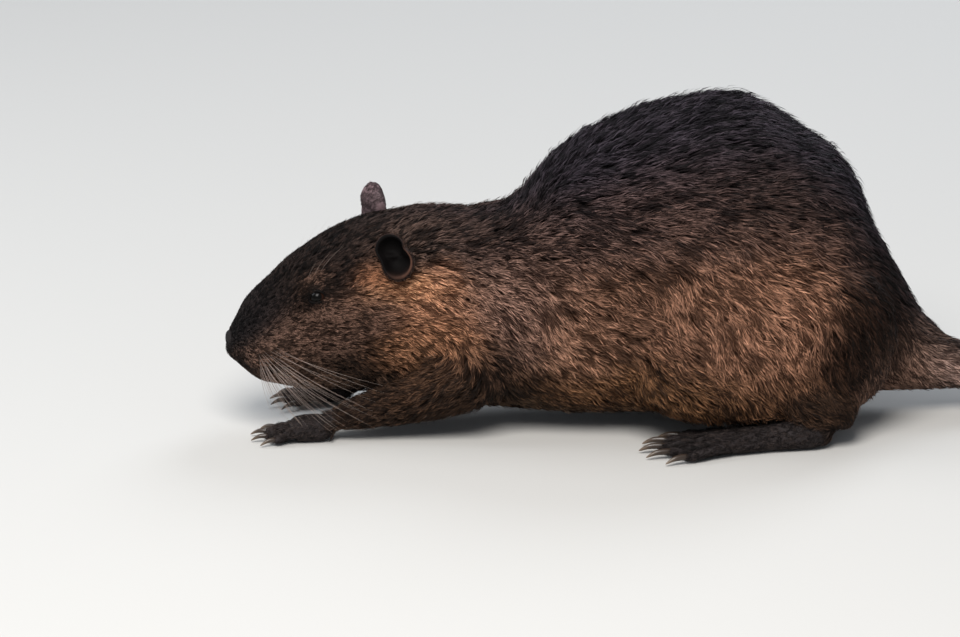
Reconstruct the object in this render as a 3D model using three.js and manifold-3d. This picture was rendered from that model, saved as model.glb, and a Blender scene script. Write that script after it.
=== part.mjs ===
// A coypu (Myocastor coypus), a full-grown one as it feeds on the ground: crouched, back arched,
// head low, forepaws under the chin, hind feet flat, and the round tail laid out behind.
// Millimetres, +Z up. The animal faces -X and its left side is -Y. The soles and the tail rest on Z = 0.
// Every flesh surface is the outside of the coat, out to the tips of the hair.

import * as THREE from "three";
import { LoftGeometry } from "three/addons/geometries/LoftGeometry.js";
import { mergeVertices } from "three/addons/utils/BufferGeometryUtils.js";
import Module from "manifold-3d";

const wasm = await Module();
wasm.setup();

// ---- Driving dimensions ----
const LEFT = -1;
const RIGHT = 1;
const GAP = 0.3; // between neighbouring pieces
const FLOOR = 0; // level of the soles
const UNDERGROUND = { middle: 150, length: 1200, width: 600, depth: 120 }; // all that is cut off below FLOOR
const FINEST = 0.1; // facets that differ by less than this are joined

// facets is how many go round a ball and how many from its top to its bottom.
// The eye is placed by station and turn on the head, its centre sunk under the coat.
const EYE = { radius: 5.8, station: 2.9, turn: 0.54, sunk: 3.2, facets: [12, 8] };
// The ear is a dish: opening is the way it faces on the right side, lean is its top's lean forwards,
// and hollow is how deep the dish is dug at raised, just above its middle plane.
const EAR = {
  opening: [-0.4, 0.86, 0.3],
  lean: -0.5,
  wide: 12,
  deep: 9.5,
  tallness: 16.5,
  wall: 1.8,
  hollow: 4.2,
  raised: 1,
  facets: [12, 7],
};
const EARS = [
  { name: "left_ear", side: LEFT, at: [-128, -43.5, 132.5] },
  { name: "right_ear", side: RIGHT, at: [-142, 32.5, 146.5] },
];
const NOSE = { x: -241, y: -13.2, z: 64, wide: 8.5, deep: 5.5, tall: 7, tip: -0.5, facets: [12, 6] };
const NOSTRIL = { apart: 3.6, drop: 1.5, deep: 2.6, wide: 1.4, tall: 2.4, slant: 0.5, facets: [7, 5] };

// ---- Lofts: round sections carried along a smooth line ----
// A station is [x, y, z, half width, reach up, reach down]. The first and the last stretch
// between stations are drawn in to a round end.
const curveThrough = (points) => new THREE.CatmullRomCurve3(points, false, "catmullrom", 0.5);

// lean is how far the sections tilt to stay square to a line that climbs or falls.
function limb(stations, { bulges = [], lean = 1 } = {}) {
  const last = stations.length - 1;
  return {
    last,
    bulges,
    lean,
    line: curveThrough(stations.map((s) => new THREE.Vector3(s[0], s[1], s[2]))),
    girth: curveThrough(stations.map((s) => new THREE.Vector3(s[3], s[4], s[5]))),
  };
}

// A share of the full girth, and a place along the line, for the round ends.
function roundEnd(place, last) {
  const quarter = Math.PI / 2;
  if (place < 1) return { at: 1 - Math.cos(place * quarter), share: Math.sin(place * quarter) };
  if (place > last - 1) {
    const left = last - place;
    return { at: last - 1 + Math.cos(left * quarter), share: Math.sin(left * quarter) };
  }
  return { at: place, share: 1 };
}

// The section at a place counted in stations: its centre, its girth and the way it faces.
function sectionAt(shape, at) {
  const t = at / shape.last;
  const along = shape.line.getTangent(t);
  along.z *= shape.lean;
  along.normalize();
  const up = new THREE.Vector3(0, 0, 1).addScaledVector(along, -along.z).normalize();
  const right = new THREE.Vector3().crossVectors(up, along);
  return { centre: shape.line.getPoint(t), girth: shape.girth.getPoint(t), along, up, right };
}

// One ring of points. grow moves the surface out, for a gap.
function ringAt(shape, place, around, grow, squareness) {
  const { at, share } = roundEnd(place, shape.last);
  const { centre, girth, along, up, right } = sectionAt(shape, at);
  const endwise = place < 1 ? share - 1 : place > shape.last - 1 ? 1 - share : 0;
  centre.addScaledVector(along, endwise * grow);
  const power = 2 / squareness;
  const ring = [];
  for (let i = 0; i < around; i++) {
    const turn = (i / around) * 2 * Math.PI;
    const c = Math.sign(Math.cos(turn)) * Math.abs(Math.cos(turn)) ** power;
    const s = Math.sign(Math.sin(turn)) * Math.abs(Math.sin(turn)) ** power;
    let swell = 0;
    for (const b of shape.bulges) {
      const offset = Math.abs(Math.atan2(Math.sin(turn), Math.abs(Math.cos(turn))) - b.turn) / b.spread;
      swell += b.height * Math.exp(-(((at - b.station) / b.reach) ** 2) - offset ** 2);
    }
    const wide = (girth.x + swell) * share + grow;
    const tall = ((s > 0 ? girth.y : girth.z) + swell) * share + grow;
    ring.push(
      centre.clone().addScaledVector(right, wide * c).addScaledVector(up, tall * s),
    );
  }
  return ring;
}

// The solid of a limb between two places, round where that is its end and flat where it is cut.
function loft(shape, { from = 0, to = shape.last, rows = 12, around = 16, grow = 0, squareness = 2 } = {}) {
  const tip = 0.12; // how near a round end's last ring comes to the end
  const start = from === 0 ? tip : from;
  const end = to === shape.last ? shape.last - tip : to;
  const sections = [];
  for (let i = 0; i <= rows; i++) {
    sections.push(ringAt(shape, start + ((end - start) * i) / rows, around, grow, squareness));
  }
  return solid(new LoftGeometry(sections, { capStart: true, capEnd: true }));
}

// ---- Solids ----
function solid(geometry) {
  const bare = new THREE.BufferGeometry().copy(geometry);
  bare.deleteAttribute("normal");
  bare.deleteAttribute("uv");
  const merged = mergeVertices(bare, 1e-4);
  const faces = [];
  const index = merged.index.array;
  for (let i = 0; i < index.length; i += 3) {
    const [a, b, c] = [index[i], index[i + 1], index[i + 2]];
    if (a !== b && b !== c && c !== a) faces.push(a, b, c);
  }
  return new wasm.Manifold(
    new wasm.Mesh({
      numProp: 3,
      vertProperties: new Float32Array(merged.attributes.position.array),
      triVerts: new Uint32Array(faces),
    }),
  );
}

function ellipsoid(centre, radii, turn, facets) {
  const ball = new THREE.SphereGeometry(1, ...facets);
  ball.applyMatrix4(
    new THREE.Matrix4().compose(centre, new THREE.Quaternion().setFromEuler(turn), radii),
  );
  return solid(ball);
}

function earth() {
  const { middle, length, width, depth } = UNDERGROUND;
  return solid(new THREE.BoxGeometry(length, width, depth).translate(middle, 0, FLOOR - depth / 2));
}

const join = (...pieces) => pieces.reduce((whole, piece) => whole.add(piece));
const cut = (whole, ...tools) => tools.reduce((rest, tool) => rest.subtract(tool), whole);

// Cutting can leave crumbs and slivers, so the largest body is the piece, with its slivers joined up.
function largest(whole) {
  const biggest = (best, body) => (body.volume() > best.volume() ? body : best);
  return whole.decompose().reduce(biggest).simplify(FINEST);
}

const mirrored = (stations, side) => stations.map(([x, y, ...rest]) => [x, side * y, ...rest]);

// ---- Body: nose, head, neck, trunk and tail as one line ----
const BODY = limb(
  [
    [-243, -13.5, 57.5, 18, 12.5, 11.5], // muzzle's blunt front
    [-223, -11.5, 62.5, 24, 25.5, 27], // lips
    [-200, -9, 70, 29.5, 37.3, 44.5], // bridge of the nose
    [-176, -6.5, 80, 35.5, 47, 56], // eyes
    [-144, -3.5, 90, 42, 57, 65], // ears and jaw's hinge
    [-108, -1, 94, 49, 61.5, 74], // nape
    [-70, 0, 93, 59, 60.5, 82], // shoulders
    [-38, 0, 92, 67, 73, 85],
    [-8, 0, 93, 73, 102.5, 88], // start of the arched back
    [28, 0, 95, 78, 122.5, 90],
    [68, 0, 96, 82, 133.5, 91], // top of the back
    [107, 0, 95, 84, 136, 90], // haunches
    [141, 0, 91, 80, 111, 85],
    [170, 0, 78, 62, 76, 71], // rump
    [200, 0, 61, 41, 50, 51], // root of the tail
    [229, 1, 45, 27, 28, 34],
    [262, 2, 32, 19, 16, 18],
    [296, 4, 27, 16.5, 16.5, 16.5],
    [336, 10, 18, 15.2, 15.2, 15.2],
    [392, 24, 13.2, 14.2, 14.2, 14.2], // tail lying on the floor
    [452, 37, 10.9, 11.8, 11.8, 11.8],
    [510, 41, 8.4, 9.2, 9.2, 9.2],
    [556, 33, 5.9, 6.6, 6.6, 6.6],
    [588, 20, 3.8, 4.4, 4.4, 4.4], // tip
  ],
  {
    lean: 0.75,
    bulges: [
      { station: 3.6, reach: 0.8, turn: -0.35, spread: 0.6, height: 4 }, // cheeks
      { station: 0.9, reach: 0.5, turn: -0.2, spread: 0.5, height: 2.5 }, // whisker pads
      { station: 2.7, reach: 0.5, turn: 0.75, spread: 0.35, height: 1.6 }, // brows
    ],
  },
);
const SQUARENESS = 2.25; // of the body's sections: 2 is an ellipse
// Where the body is parted, counted in stations.
const PARTS = [
  { name: "head", from: 0, to: 4.35, rows: 12, around: 24, slot: "coat", meetsLegs: true },
  { name: "neck", from: 4.35, to: 5.9, rows: 3, around: 24, slot: "coat", meetsLegs: true },
  { name: "trunk", from: 5.9, to: 13.6, rows: 14, around: 26, slot: "coat", meetsLegs: true },
  { name: "tail_base", from: 13.6, to: 17, rows: 7, around: 20, slot: "tail", meetsLegs: true },
  { name: "tail_middle", from: 17, to: 20, rows: 6, around: 16, slot: "tail" },
  { name: "tail_tip", from: 20, to: 23, rows: 7, around: 12, slot: "tail" },
];
const STATION_GAP = 0.009; // about GAP, as a share of the distance between stations

// ---- Legs, from the shoulder or hip to the wrist or heel, for the right side ----
const FORELEG = {
  stations: [
    [-50, 34, 94, 18, 26, 26],
    [-58, 41, 72, 20, 30, 28],
    [-78, 44, 46, 19, 26, 26], // elbow
    [-116, 42, 29, 14, 18, 18],
    [-152, 41, 20, 10.5, 13, 13],
    [-180, 40, 13, 9, 9, 10], // wrist
  ],
  rows: 8,
  around: 12,
};
const ELBOW = 2; // its station
const RIGHT_STEP = 16; // how much further back the right forepaw stands
const HAUNCH = {
  stations: [
    [212, 34, 64, 21, 34, 46],
    [184, 49, 68, 33, 54, 57],
    [142, 56, 68, 37, 70, 62],
    [102, 58, 64, 36, 64, 57],
    [66, 62, 50, 27, 43, 40],
    [38, 66, 38, 14, 18, 20], // knee
  ],
  rows: 9,
  around: 16,
};
const HOCK = {
  stations: [
    [126, 64, 44, 16, 18, 20],
    [150, 70, 37, 18, 20, 22],
    [170, 73, 25, 15, 17, 17],
    [181, 74, 14, 11, 11, 12], // heel
  ],
  rows: 5,
  around: 10,
};

// ---- Feet: a sole from heel to ball, toes in a fan, and a claw on each toe ----
// length is heel to toe tip, and turn is how far the foot points outwards, in radians.
const FOREFOOT = {
  length: 50,
  turn: -0.1,
  sole: [
    [0, 8, 9, 9],
    [0.22, 9.5, 9, 9],
    [0.5, 11.5, 8, 8],
    [0.62, 9, 6, 6],
  ],
  toes: [
    { spread: 0.42, length: 0.36, root: 7.4 },
    { spread: 0.14, length: 0.46, root: 2.9 },
    { spread: -0.1, length: 0.48, root: -2.2 },
    { spread: -0.38, length: 0.4, root: -6.8 },
  ],
  toe: { radius: 3.3, knuckle: 6.2, pad: 3.1 },
  claw: { length: 9, radius: 1.7 },
};
const HINDFOOT = {
  length: 128,
  turn: 0.06,
  sole: [
    [0, 10, 12, 11],
    [0.12, 12, 12.5, 10],
    [0.34, 12.5, 9.5, 7.5],
    [0.58, 17, 6.5, 5.8],
    [0.68, 14, 4.5, 4.5],
  ],
  toes: [
    { spread: -0.26, length: 0.32, root: -11.5 },
    { spread: -0.13, length: 0.4, root: -6.5 },
    { spread: 0.0, length: 0.43, root: -0.5 },
    { spread: 0.13, length: 0.41, root: 5.5 },
    { spread: 0.32, length: 0.34, root: 11.5 },
  ],
  toe: { radius: 4, knuckle: 6.5, pad: 3.6 },
  claw: { length: 12, radius: 2.2 },
  web: { toes: 4, start: 0.1, reach: 0.8, dip: 0.35, thick: 2.2, height: 1.4 },
};
const TOE_ROOT = 0.52; // where the toes part from the sole
const SOLE = { under: 2, rows: 5, around: 10, squareness: 2.4 }; // under is cut off at the floor
// Toes: share of the length, height as a share of the way from pad to knuckle, girth in radii.
const TOE = {
  stations: [
    { at: 0, lift: 1, girth: [1, 1, 1] },
    { at: 0.35, lift: 1, girth: [1.1, 1.1, 1.1] }, // knuckle
    { at: 0.75, lift: 0.26, girth: [0.95, 0.9, 1] },
    { at: 1, lift: 0, girth: [0.85, 0.8, 0.9] }, // pad
  ],
  rows: 3,
  around: 6,
};
// Claws: share of the toe's length, then of the claw's, height over the pad, girth in radii.
const CLAW = {
  stations: [
    { toe: 0.86, claw: 0, lift: 0.6, girth: [1, 1, 1] },
    { toe: 0.95, claw: 0, lift: 0.8, girth: [1, 1.1, 1] },
    { toe: 1, claw: 0.45, lift: 0.3, girth: [0.75, 0.85, 0.75] },
  ],
  tip: { radius: 0.45, height: 1.05 },
  rows: 3,
  around: 5,
};
const FEET = [
  { name: "left_forefoot", kind: FOREFOOT, side: LEFT, heel: [-171, 41] },
  { name: "right_forefoot", kind: FOREFOOT, side: RIGHT, heel: [-155, 43] },
  { name: "left_hindfoot", kind: HINDFOOT, side: LEFT, heel: [168, 74] },
  { name: "right_hindfoot", kind: HINDFOOT, side: RIGHT, heel: [168, 74] },
];

// A point of a foot: ahead of the heel, out from the foot's line, and above the floor.
function footPoint({ kind, side, heel }, ahead, out, height) {
  const x = heel[0] - ahead * Math.cos(kind.turn) + out * Math.sin(kind.turn);
  const y = heel[1] + ahead * Math.sin(kind.turn) + out * Math.cos(kind.turn);
  return [x, side * y, height];
}

function soleOf(foot, grow = 0) {
  const { kind } = foot;
  const stations = kind.sole.map(([at, wide, up, height]) => [
    ...footPoint(foot, at * kind.length, 0, height),
    wide,
    up,
    height + SOLE.under,
  ]);
  return loft(limb(stations), { ...SOLE, grow });
}

// The point a share of the way along a toe, at a height.
function toePoint(foot, toe, share, height) {
  const reach = share * toe.length * foot.kind.length;
  const ahead = TOE_ROOT * foot.kind.length + reach * Math.cos(toe.spread);
  return footPoint(foot, ahead, toe.root + reach * Math.sin(toe.spread), height);
}

function toeOf(foot, toe) {
  const { radius, knuckle, pad } = foot.kind.toe;
  const stations = TOE.stations.map(({ at, lift, girth }) => [
    ...toePoint(foot, toe, at, pad + lift * (knuckle - pad)),
    ...girth.map((share) => share * radius),
  ]);
  return loft(limb(stations), TOE);
}

function clawOf(foot, toe, grow = 0) {
  const { length, radius } = foot.kind.claw;
  const share = length / (toe.length * foot.kind.length);
  const { tip } = CLAW;
  const stations = CLAW.stations.map((s) => [
    ...toePoint(foot, toe, s.toe + s.claw * share, foot.kind.toe.pad + s.lift),
    ...s.girth.map((part) => part * radius),
  ]);
  stations.push([...toePoint(foot, toe, 1 + share, tip.height), tip.radius, tip.radius, tip.radius]);
  return loft(limb(stations), { ...CLAW, grow });
}

// Skin between the webbed toes, as a thin plate whose front edge dips between each two toes.
function webOf(foot) {
  const { web, toes } = foot.kind;
  const along = (toe, share) => new THREE.Vector2(...toePoint(foot, toe, share, 0).slice(0, 2));
  const webbed = toes.slice(0, web.toes);
  const edge = webbed.slice(1).flatMap((toe, i) => {
    const [before, after] = [along(webbed[i], web.reach), along(toe, web.reach)];
    const dip = along(webbed[i], web.dip).add(along(toe, web.dip)).multiplyScalar(0.5);
    return new THREE.QuadraticBezierCurve(before, dip, after).getPoints(2).slice(i === 0 ? 0 : 1);
  });
  const heelward = [webbed[web.toes - 1], webbed[0]].map((toe) => along(toe, web.start));
  const outline = new THREE.Shape([...edge, ...heelward]);
  const plate = new THREE.ExtrudeGeometry(outline, { depth: web.thick, bevelEnabled: false });
  return solid(plate.translate(0, 0, web.height));
}

// ---- Head pieces ----
// A point under the body's surface: turn is how far it is round from the side towards the top.
function underCoat(station, side, turn, depth) {
  const { centre, girth, up, right } = sectionAt(BODY, station);
  const outwards = right
    .multiplyScalar(side * girth.x * Math.cos(turn) ** (2 / SQUARENESS))
    .addScaledVector(up, girth.y * Math.sin(turn) ** (2 / SQUARENESS));
  return centre.addScaledVector(outwards, 1 - depth / outwards.length());
}

// A coypu's ear is a small round dish that opens outwards and forwards, its top leaning forwards.
function earOf(ear, body) {
  const { opening: faces, lean, wide, deep, tallness, wall, hollow, raised, facets } = EAR;
  const opening = new THREE.Vector3(faces[0], ear.side * faces[1], faces[2]).normalize();
  const tall = new THREE.Vector3(lean, 0, 1);
  tall.addScaledVector(opening, -tall.dot(opening)).normalize();
  const across = new THREE.Vector3().crossVectors(opening, tall);
  const turn = new THREE.Euler().setFromRotationMatrix(new THREE.Matrix4().makeBasis(across, opening, tall));
  const centre = new THREE.Vector3(...ear.at);
  const dug = centre.clone().addScaledVector(opening, raised);
  const dish = ellipsoid(centre, new THREE.Vector3(wide, deep, tallness), turn, facets);
  const inside = ellipsoid(dug, new THREE.Vector3(wide - wall, hollow, tallness - wall), turn, facets);
  const back = dish.trimByPlane(opening.clone().negate().toArray(), -dug.dot(opening));
  return largest(cut(back, inside, ...body));
}

// ---- The whole animal, parted into its pieces ----
const pieces = new Map();
const place = (name, shape, slot) => pieces.set(name, { solid: shape, slot });
const underground = earth();
const bodyPart = (part, grow = 0) => {
  const from = part.from === 0 ? 0 : part.from + STATION_GAP;
  return loft(BODY, { ...part, from, squareness: SQUARENESS, grow });
};
const legPart = (leg, side, grow) => loft(limb(mirrored(leg.stations, side)), { ...leg, grow });

// The foreleg of one side: below the elbow, the right one is carried back step by step.
function forelegOf(side) {
  const step = side === RIGHT ? RIGHT_STEP : 0;
  const below = FORELEG.stations.length - 1 - ELBOW;
  const stations = FORELEG.stations.map(([x, ...rest], i) => [
    x + (step * Math.max(0, i - ELBOW)) / below,
    ...rest,
  ]);
  return { ...FORELEG, stations };
}

const legs = [];
for (const side of [LEFT, RIGHT]) {
  const name = side === LEFT ? "left" : "right";
  legs.push({
    name: name + "_foreleg",
    whole: (grow) => legPart(forelegOf(side), side, grow),
  });
  legs.push({
    name: name + "_hindleg",
    whole: (grow) => join(legPart(HAUNCH, side, grow), legPart(HOCK, side, grow)),
  });
}

const feet = FEET.map((foot) => {
  const toes = foot.kind.toes.map((toe) => toeOf(foot, toe));
  const web = foot.kind.web ? [webOf(foot)] : [];
  return { ...foot, whole: join(soleOf(foot), ...toes, ...web) };
});

const eyes = [LEFT, RIGHT].map((side) => ({
  name: (side === LEFT ? "left" : "right") + "_eye",
  centre: underCoat(EYE.station, side, EYE.turn, EYE.sunk),
}));
const eyeBall = (eye, grow) =>
  ellipsoid(eye.centre, new THREE.Vector3().setScalar(EYE.radius + grow), new THREE.Euler(), EYE.facets);
const nosePad = (grow) =>
  ellipsoid(
    new THREE.Vector3(NOSE.x, NOSE.y, NOSE.z),
    new THREE.Vector3(NOSE.deep + grow, NOSE.wide + grow, NOSE.tall + grow),
    new THREE.Euler(0, NOSE.tip, 0),
    NOSE.facets,
  );
const nostril = (side) =>
  ellipsoid(
    new THREE.Vector3(NOSE.x - NOSE.deep, NOSE.y + side * NOSTRIL.apart, NOSE.z - NOSTRIL.drop),
    new THREE.Vector3(NOSTRIL.deep, NOSTRIL.wide, NOSTRIL.tall),
    new THREE.Euler(side * NOSTRIL.slant, 0, 0),
    NOSTRIL.facets,
  );

for (const part of PARTS) {
  const tools = [underground];
  if (part.meetsLegs) tools.push(...legs.map((leg) => leg.whole(GAP)));
  if (part.name === "head") tools.push(nosePad(GAP), ...eyes.map((eye) => eyeBall(eye, GAP)));
  place(part.name, largest(cut(bodyPart(part), ...tools)), part.slot);
}
eyes.forEach((eye) => place(eye.name, eyeBall(eye, 0), "eye"));
place("nose", cut(nosePad(0), nostril(LEFT), nostril(RIGHT)), "nose");

const [head, neck] = PARTS;
for (const ear of EARS) {
  place(ear.name, earOf(ear, [bodyPart(head, GAP), bodyPart(neck, GAP)]), "ear");
}
for (const leg of legs) {
  const foot = feet.find((f) => f.name === leg.name.replace("leg", "foot"));
  place(leg.name, largest(cut(leg.whole(0), soleOf(foot, GAP), underground)), "coat");
}
for (const foot of feet) {
  const sockets = foot.kind.toes.map((toe) => clawOf(foot, toe, GAP));
  place(foot.name, largest(cut(foot.whole, ...sockets, underground)), "foot");
  foot.kind.toes.forEach((toe, i) => {
    place(`${foot.name}_claw_${i + 1}`, largest(cut(clawOf(foot, toe), underground)), "claw");
  });
}

// ---- Looks, and the group ----
const LOOKS = {
  coat: { color: 0x5d4336, roughness: 0.85, metalness: 0 },
  tail: { color: 0x3a302b, roughness: 0.8, metalness: 0 },
  ear: { color: 0x1d1512, roughness: 0.7, metalness: 0 },
  eye: { color: 0x0d0806, roughness: 0.08, metalness: 0 },
  nose: { color: 0x17130f, roughness: 0.45, metalness: 0 },
  foot: { color: 0x2d2624, roughness: 0.6, metalness: 0 },
  claw: { color: 0x4a4038, roughness: 0.4, metalness: 0 },
};

function geometryOf(manifold) {
  const { numProp, vertProperties, triVerts } = manifold.getMesh();
  const geometry = new THREE.BufferGeometry();
  const stride = new THREE.InterleavedBuffer(new Float32Array(vertProperties), numProp);
  const place = new THREE.InterleavedBufferAttribute(stride, 3, 0);
  const flat = new Float32Array(place.count * 3);
  for (let i = 0; i < place.count; i++) flat.set([place.getX(i), place.getY(i), place.getZ(i)], i * 3);
  geometry.setAttribute("position", new THREE.BufferAttribute(flat, 3));
  geometry.setIndex(new THREE.BufferAttribute(new Uint32Array(triVerts), 1));
  geometry.computeVertexNormals();
  return geometry;
}

const coypu = new THREE.Group();
for (const [name, piece] of pieces) {
  const mesh = new THREE.Mesh(geometryOf(piece.solid), new THREE.MeshStandardMaterial(LOOKS[piece.slot]));
  mesh.name = name;
  coypu.add(mesh);
}

// The origin is under the middle of the animal's box, at the floor.
const box = new THREE.Box3().setFromObject(coypu);
const middle = box.getCenter(new THREE.Vector3());
coypu.position.set(-middle.x, -middle.y, -FLOOR);

export default coypu;
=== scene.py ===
# A coypu (Myocastor coypus), a full-grown one crouched to feed, as a still life-size museum model.
# It is worked out in the sculptor's millimetres, nose towards -X, left side towards -Y, soles on
# Z = 0, and each mesh is moved from there into the frame, which is in metres.

import math

import bpy
import numpy as np
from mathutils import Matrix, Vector


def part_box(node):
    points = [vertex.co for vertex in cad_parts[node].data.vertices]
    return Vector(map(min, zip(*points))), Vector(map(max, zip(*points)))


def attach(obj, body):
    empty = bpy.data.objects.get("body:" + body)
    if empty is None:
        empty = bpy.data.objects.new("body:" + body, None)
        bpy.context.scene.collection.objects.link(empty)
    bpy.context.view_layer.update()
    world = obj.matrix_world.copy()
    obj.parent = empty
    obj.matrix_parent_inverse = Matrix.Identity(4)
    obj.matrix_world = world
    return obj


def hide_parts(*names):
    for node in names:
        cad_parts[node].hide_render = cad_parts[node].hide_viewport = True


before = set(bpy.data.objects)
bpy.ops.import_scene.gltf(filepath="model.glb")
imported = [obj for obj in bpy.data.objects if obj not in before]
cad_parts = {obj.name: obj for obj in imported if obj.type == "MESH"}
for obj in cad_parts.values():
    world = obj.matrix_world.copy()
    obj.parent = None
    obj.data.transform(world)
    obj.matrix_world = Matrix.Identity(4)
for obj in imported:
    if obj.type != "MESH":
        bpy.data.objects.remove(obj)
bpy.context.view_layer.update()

# ---- Body ----
# The stuffed form from the muzzle to the tip of the tail: round sections strung on the line of
# the spine. Its girth reaches to the tips of the coat, and the skin lies inside by the coat's depth.
MM = 0.001
LEFT = -1
RIGHT = 1
SIDES = (LEFT, RIGHT)
UP = np.array([0.0, 0.0, 1.0])

# Stations: x, y, z of the line, then half width, reach up and reach down.
SPINE = np.array([
    [-243, -13.5, 57.5, 18, 12.5, 11.5],  # muzzle's blunt front
    [-223, -11.5, 62.5, 24, 25.5, 27],  # lips
    [-200, -9, 70, 29.5, 37.3, 44.5],  # bridge of the nose
    [-176, -6.5, 80, 35.5, 47, 56],  # eyes
    [-144, -3.5, 90, 42, 57, 65],  # ears and jaw's hinge
    [-108, -1, 94, 49, 61.5, 74],  # nape
    [-70, 0, 93, 59, 60.5, 82],  # shoulders
    [-38, 0, 92, 67, 73, 85],
    [-8, 0, 93, 73, 102.5, 88],  # start of the arched back
    [28, 0, 95, 78, 122.5, 90],
    [68, 0, 96, 82, 133.5, 91],  # top of the back
    [107, 0, 95, 84, 136, 90],  # haunches
    [141, 0, 91, 80, 111, 85],
    [170, 0, 78, 62, 76, 71],  # rump
    [200, 0, 61, 41, 50, 51],  # root of the tail
    [229, 1, 45, 27, 28, 34],
    [262, 2, 32, 19, 16, 18],
    [296, 4, 27, 16.5, 16.5, 16.5],
    [336, 10, 18, 15.2, 15.2, 15.2],
    [392, 24, 13.2, 14.2, 14.2, 14.2],  # tail lying on the floor
    [452, 37, 10.9, 11.8, 11.8, 11.8],
    [510, 41, 8.4, 9.2, 9.2, 9.2],
    [556, 33, 5.9, 6.6, 6.6, 6.6],
    [588, 20, 3.8, 4.4, 4.4, 4.4],  # tip
])
SPINE_LEAN = 0.75  # how far the sections tilt to stay square to the spine
SPINE_SQUARENESS = 2.25  # 2 is an ellipse
LEAST_GIRTH = 0.4  # the share of a limb's girth that is left at least under the coat
# The coat's depth at each station, on the back and sides.
COAT_DEPTH = np.array(
    [1.2, 1.6, 2.2, 2.4, 4.5, 6.5, 8, 9, 9.5, 10, 10, 10, 10, 9, 8, 6, 3.5, 1.8]
    + [0.9, 0.7, 0.6, 0.5, 0.4, 0.3]
)
BELLY_DEPTH = 0.7  # of that depth, underneath
# Swellings of the head: station, reach along, turn up from the side, spread, height.
HEAD_SWELLINGS = [
    (3.6, 0.8, -0.35, 0.6, 4.0),  # cheeks
    (0.9, 0.5, -0.2, 0.5, 2.5),  # whisker pads
    (2.7, 0.5, 0.75, 0.35, 1.6),  # brows
    (1.2, 1.15, 1.57, 0.75, 6.6),  # bridge of the nose
    (3.0, 1.2, 1.57, 0.7, 3.2),  # forehead
    (0.8, 0.5, -1.2, 0.5, 2.4),  # chin
]


def along(points, at):
    """A smooth line through points, at places counted in points. Between two of them it is the
    cubic whose slope at each is half the chord between its neighbours."""
    at = np.asarray(at, float)
    padded = np.vstack([2 * points[0] - points[1], points, 2 * points[-1] - points[-2]])
    first = np.clip(np.floor(at).astype(int), 0, len(points) - 2)
    a, b, c, d = (padded[first + k] for k in range(4))
    w = (at - first)[..., None]
    return b + w * ((c - a) / 2 + w * ((2 * a - 5 * b + 4 * c - d) / 2 + w * (3 * (b - c) + d - a) / 2))


def unit(vectors):
    """Each vector divided by its length."""
    return vectors / np.maximum(np.linalg.norm(vectors, axis=-1, keepdims=True), 1e-12)


def sections(stations, at, lean=1.0):
    """The section at each place: its centre, its girth, its right and up directions and its
    heading. Up is upright less its share of the heading, and right is up x heading."""
    found = along(stations, at)
    heading = along(stations, at + 0.01)[..., :3] - along(stations, at - 0.01)[..., :3]
    heading = unit(heading * (1, 1, lean))
    up = unit(UP - heading * heading[..., 2:])
    return found[..., :3], found[..., 3:], np.cross(up, heading), up, heading


def round_ends(place, last):
    """The place on the line and the share of the full girth, where the first and the last stretch
    between stations are drawn in as quarter circles."""
    start = np.clip(place, 0, 1) * math.pi / 2
    end = np.clip(last - place, 0, 1) * math.pi / 2
    at = np.where(place < 1, 1 - np.cos(start), np.where(place > last - 1, last - 1 + np.cos(end), place))
    return at, np.sin(start) * np.sin(end)


def with_power(value, power):
    """The value's size to a power, with the value's sign."""
    return np.sign(value) * np.abs(value) ** power


def limb(stations, place, turn, depth, squareness=2.0, lean=1.0, swell=0.0):
    """Points at each place along a limb (rows) and turn round it (columns):
    centre + right * wide * c + up * tall * s, with c and s the cosine and sine of the turn to the
    power 2 / squareness, and wide and tall the girth plus swell less depth."""
    at, share = round_ends(place, len(stations) - 1)
    centre, girth, right, up, _ = sections(stations, at, lean)
    power = 2 / squareness
    c = with_power(np.cos(turn), power)
    s = with_power(np.sin(turn), power)
    less = depth - swell
    wide = np.maximum(girth[:, :1] - less, girth[:, :1] * LEAST_GIRTH) * share[:, None] * c
    reach = np.where(s > 0, girth[:, 1:2], girth[:, 2:3])
    tall = np.maximum(reach - less, reach * LEAST_GIRTH) * share[:, None] * s
    return centre[:, None] + right[:, None] * wide[..., None] + up[:, None] * tall[..., None]


def grid(rows, columns, start=0):
    """The faces of a surface of rows by columns points that closes on itself round each row."""
    first = start + (np.arange(rows - 1) * columns)[:, None] + np.arange(columns)
    after = start + (np.arange(rows - 1) * columns)[:, None] + (np.arange(columns) + 1) % columns
    return np.stack([first, after, after + columns, first + columns], -1).reshape(-1, 4)


def around(count):
    """So many turns, evenly round a circle."""
    return np.arange(count) / count * 2 * math.pi


def joined(shapes):
    """One list of points and one of faces from grids of points that each close round their rows."""
    faces = []
    start = 0
    for shape in shapes:
        rows, columns = shape.shape[:2]
        faces.append(grid(rows, columns, start))
        start += rows * columns
    return np.vstack([shape.reshape(-1, 3) for shape in shapes]), np.vstack(faces)


def head_swell(at, turn):
    """The sum of height * exp(-((at - station) / reach)^2 - ((rise - turn) / spread)^2), where rise
    is the angle up from either side."""
    rise = np.arctan2(np.sin(turn), np.abs(np.cos(turn)))
    return sum(
        height * np.exp(-(((at - station) / reach) ** 2) - ((rise - middle) / spread) ** 2)
        for station, reach, middle, spread, height in HEAD_SWELLINGS
    )


def coat_depth(at, turn):
    """The coat's depth at a station, less towards the belly."""
    depth = np.interp(at, np.arange(len(COAT_DEPTH)), COAT_DEPTH)
    under = np.clip(-np.sin(turn), 0, 1)
    return depth * (1 - (1 - BELLY_DEPTH) * under)


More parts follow.
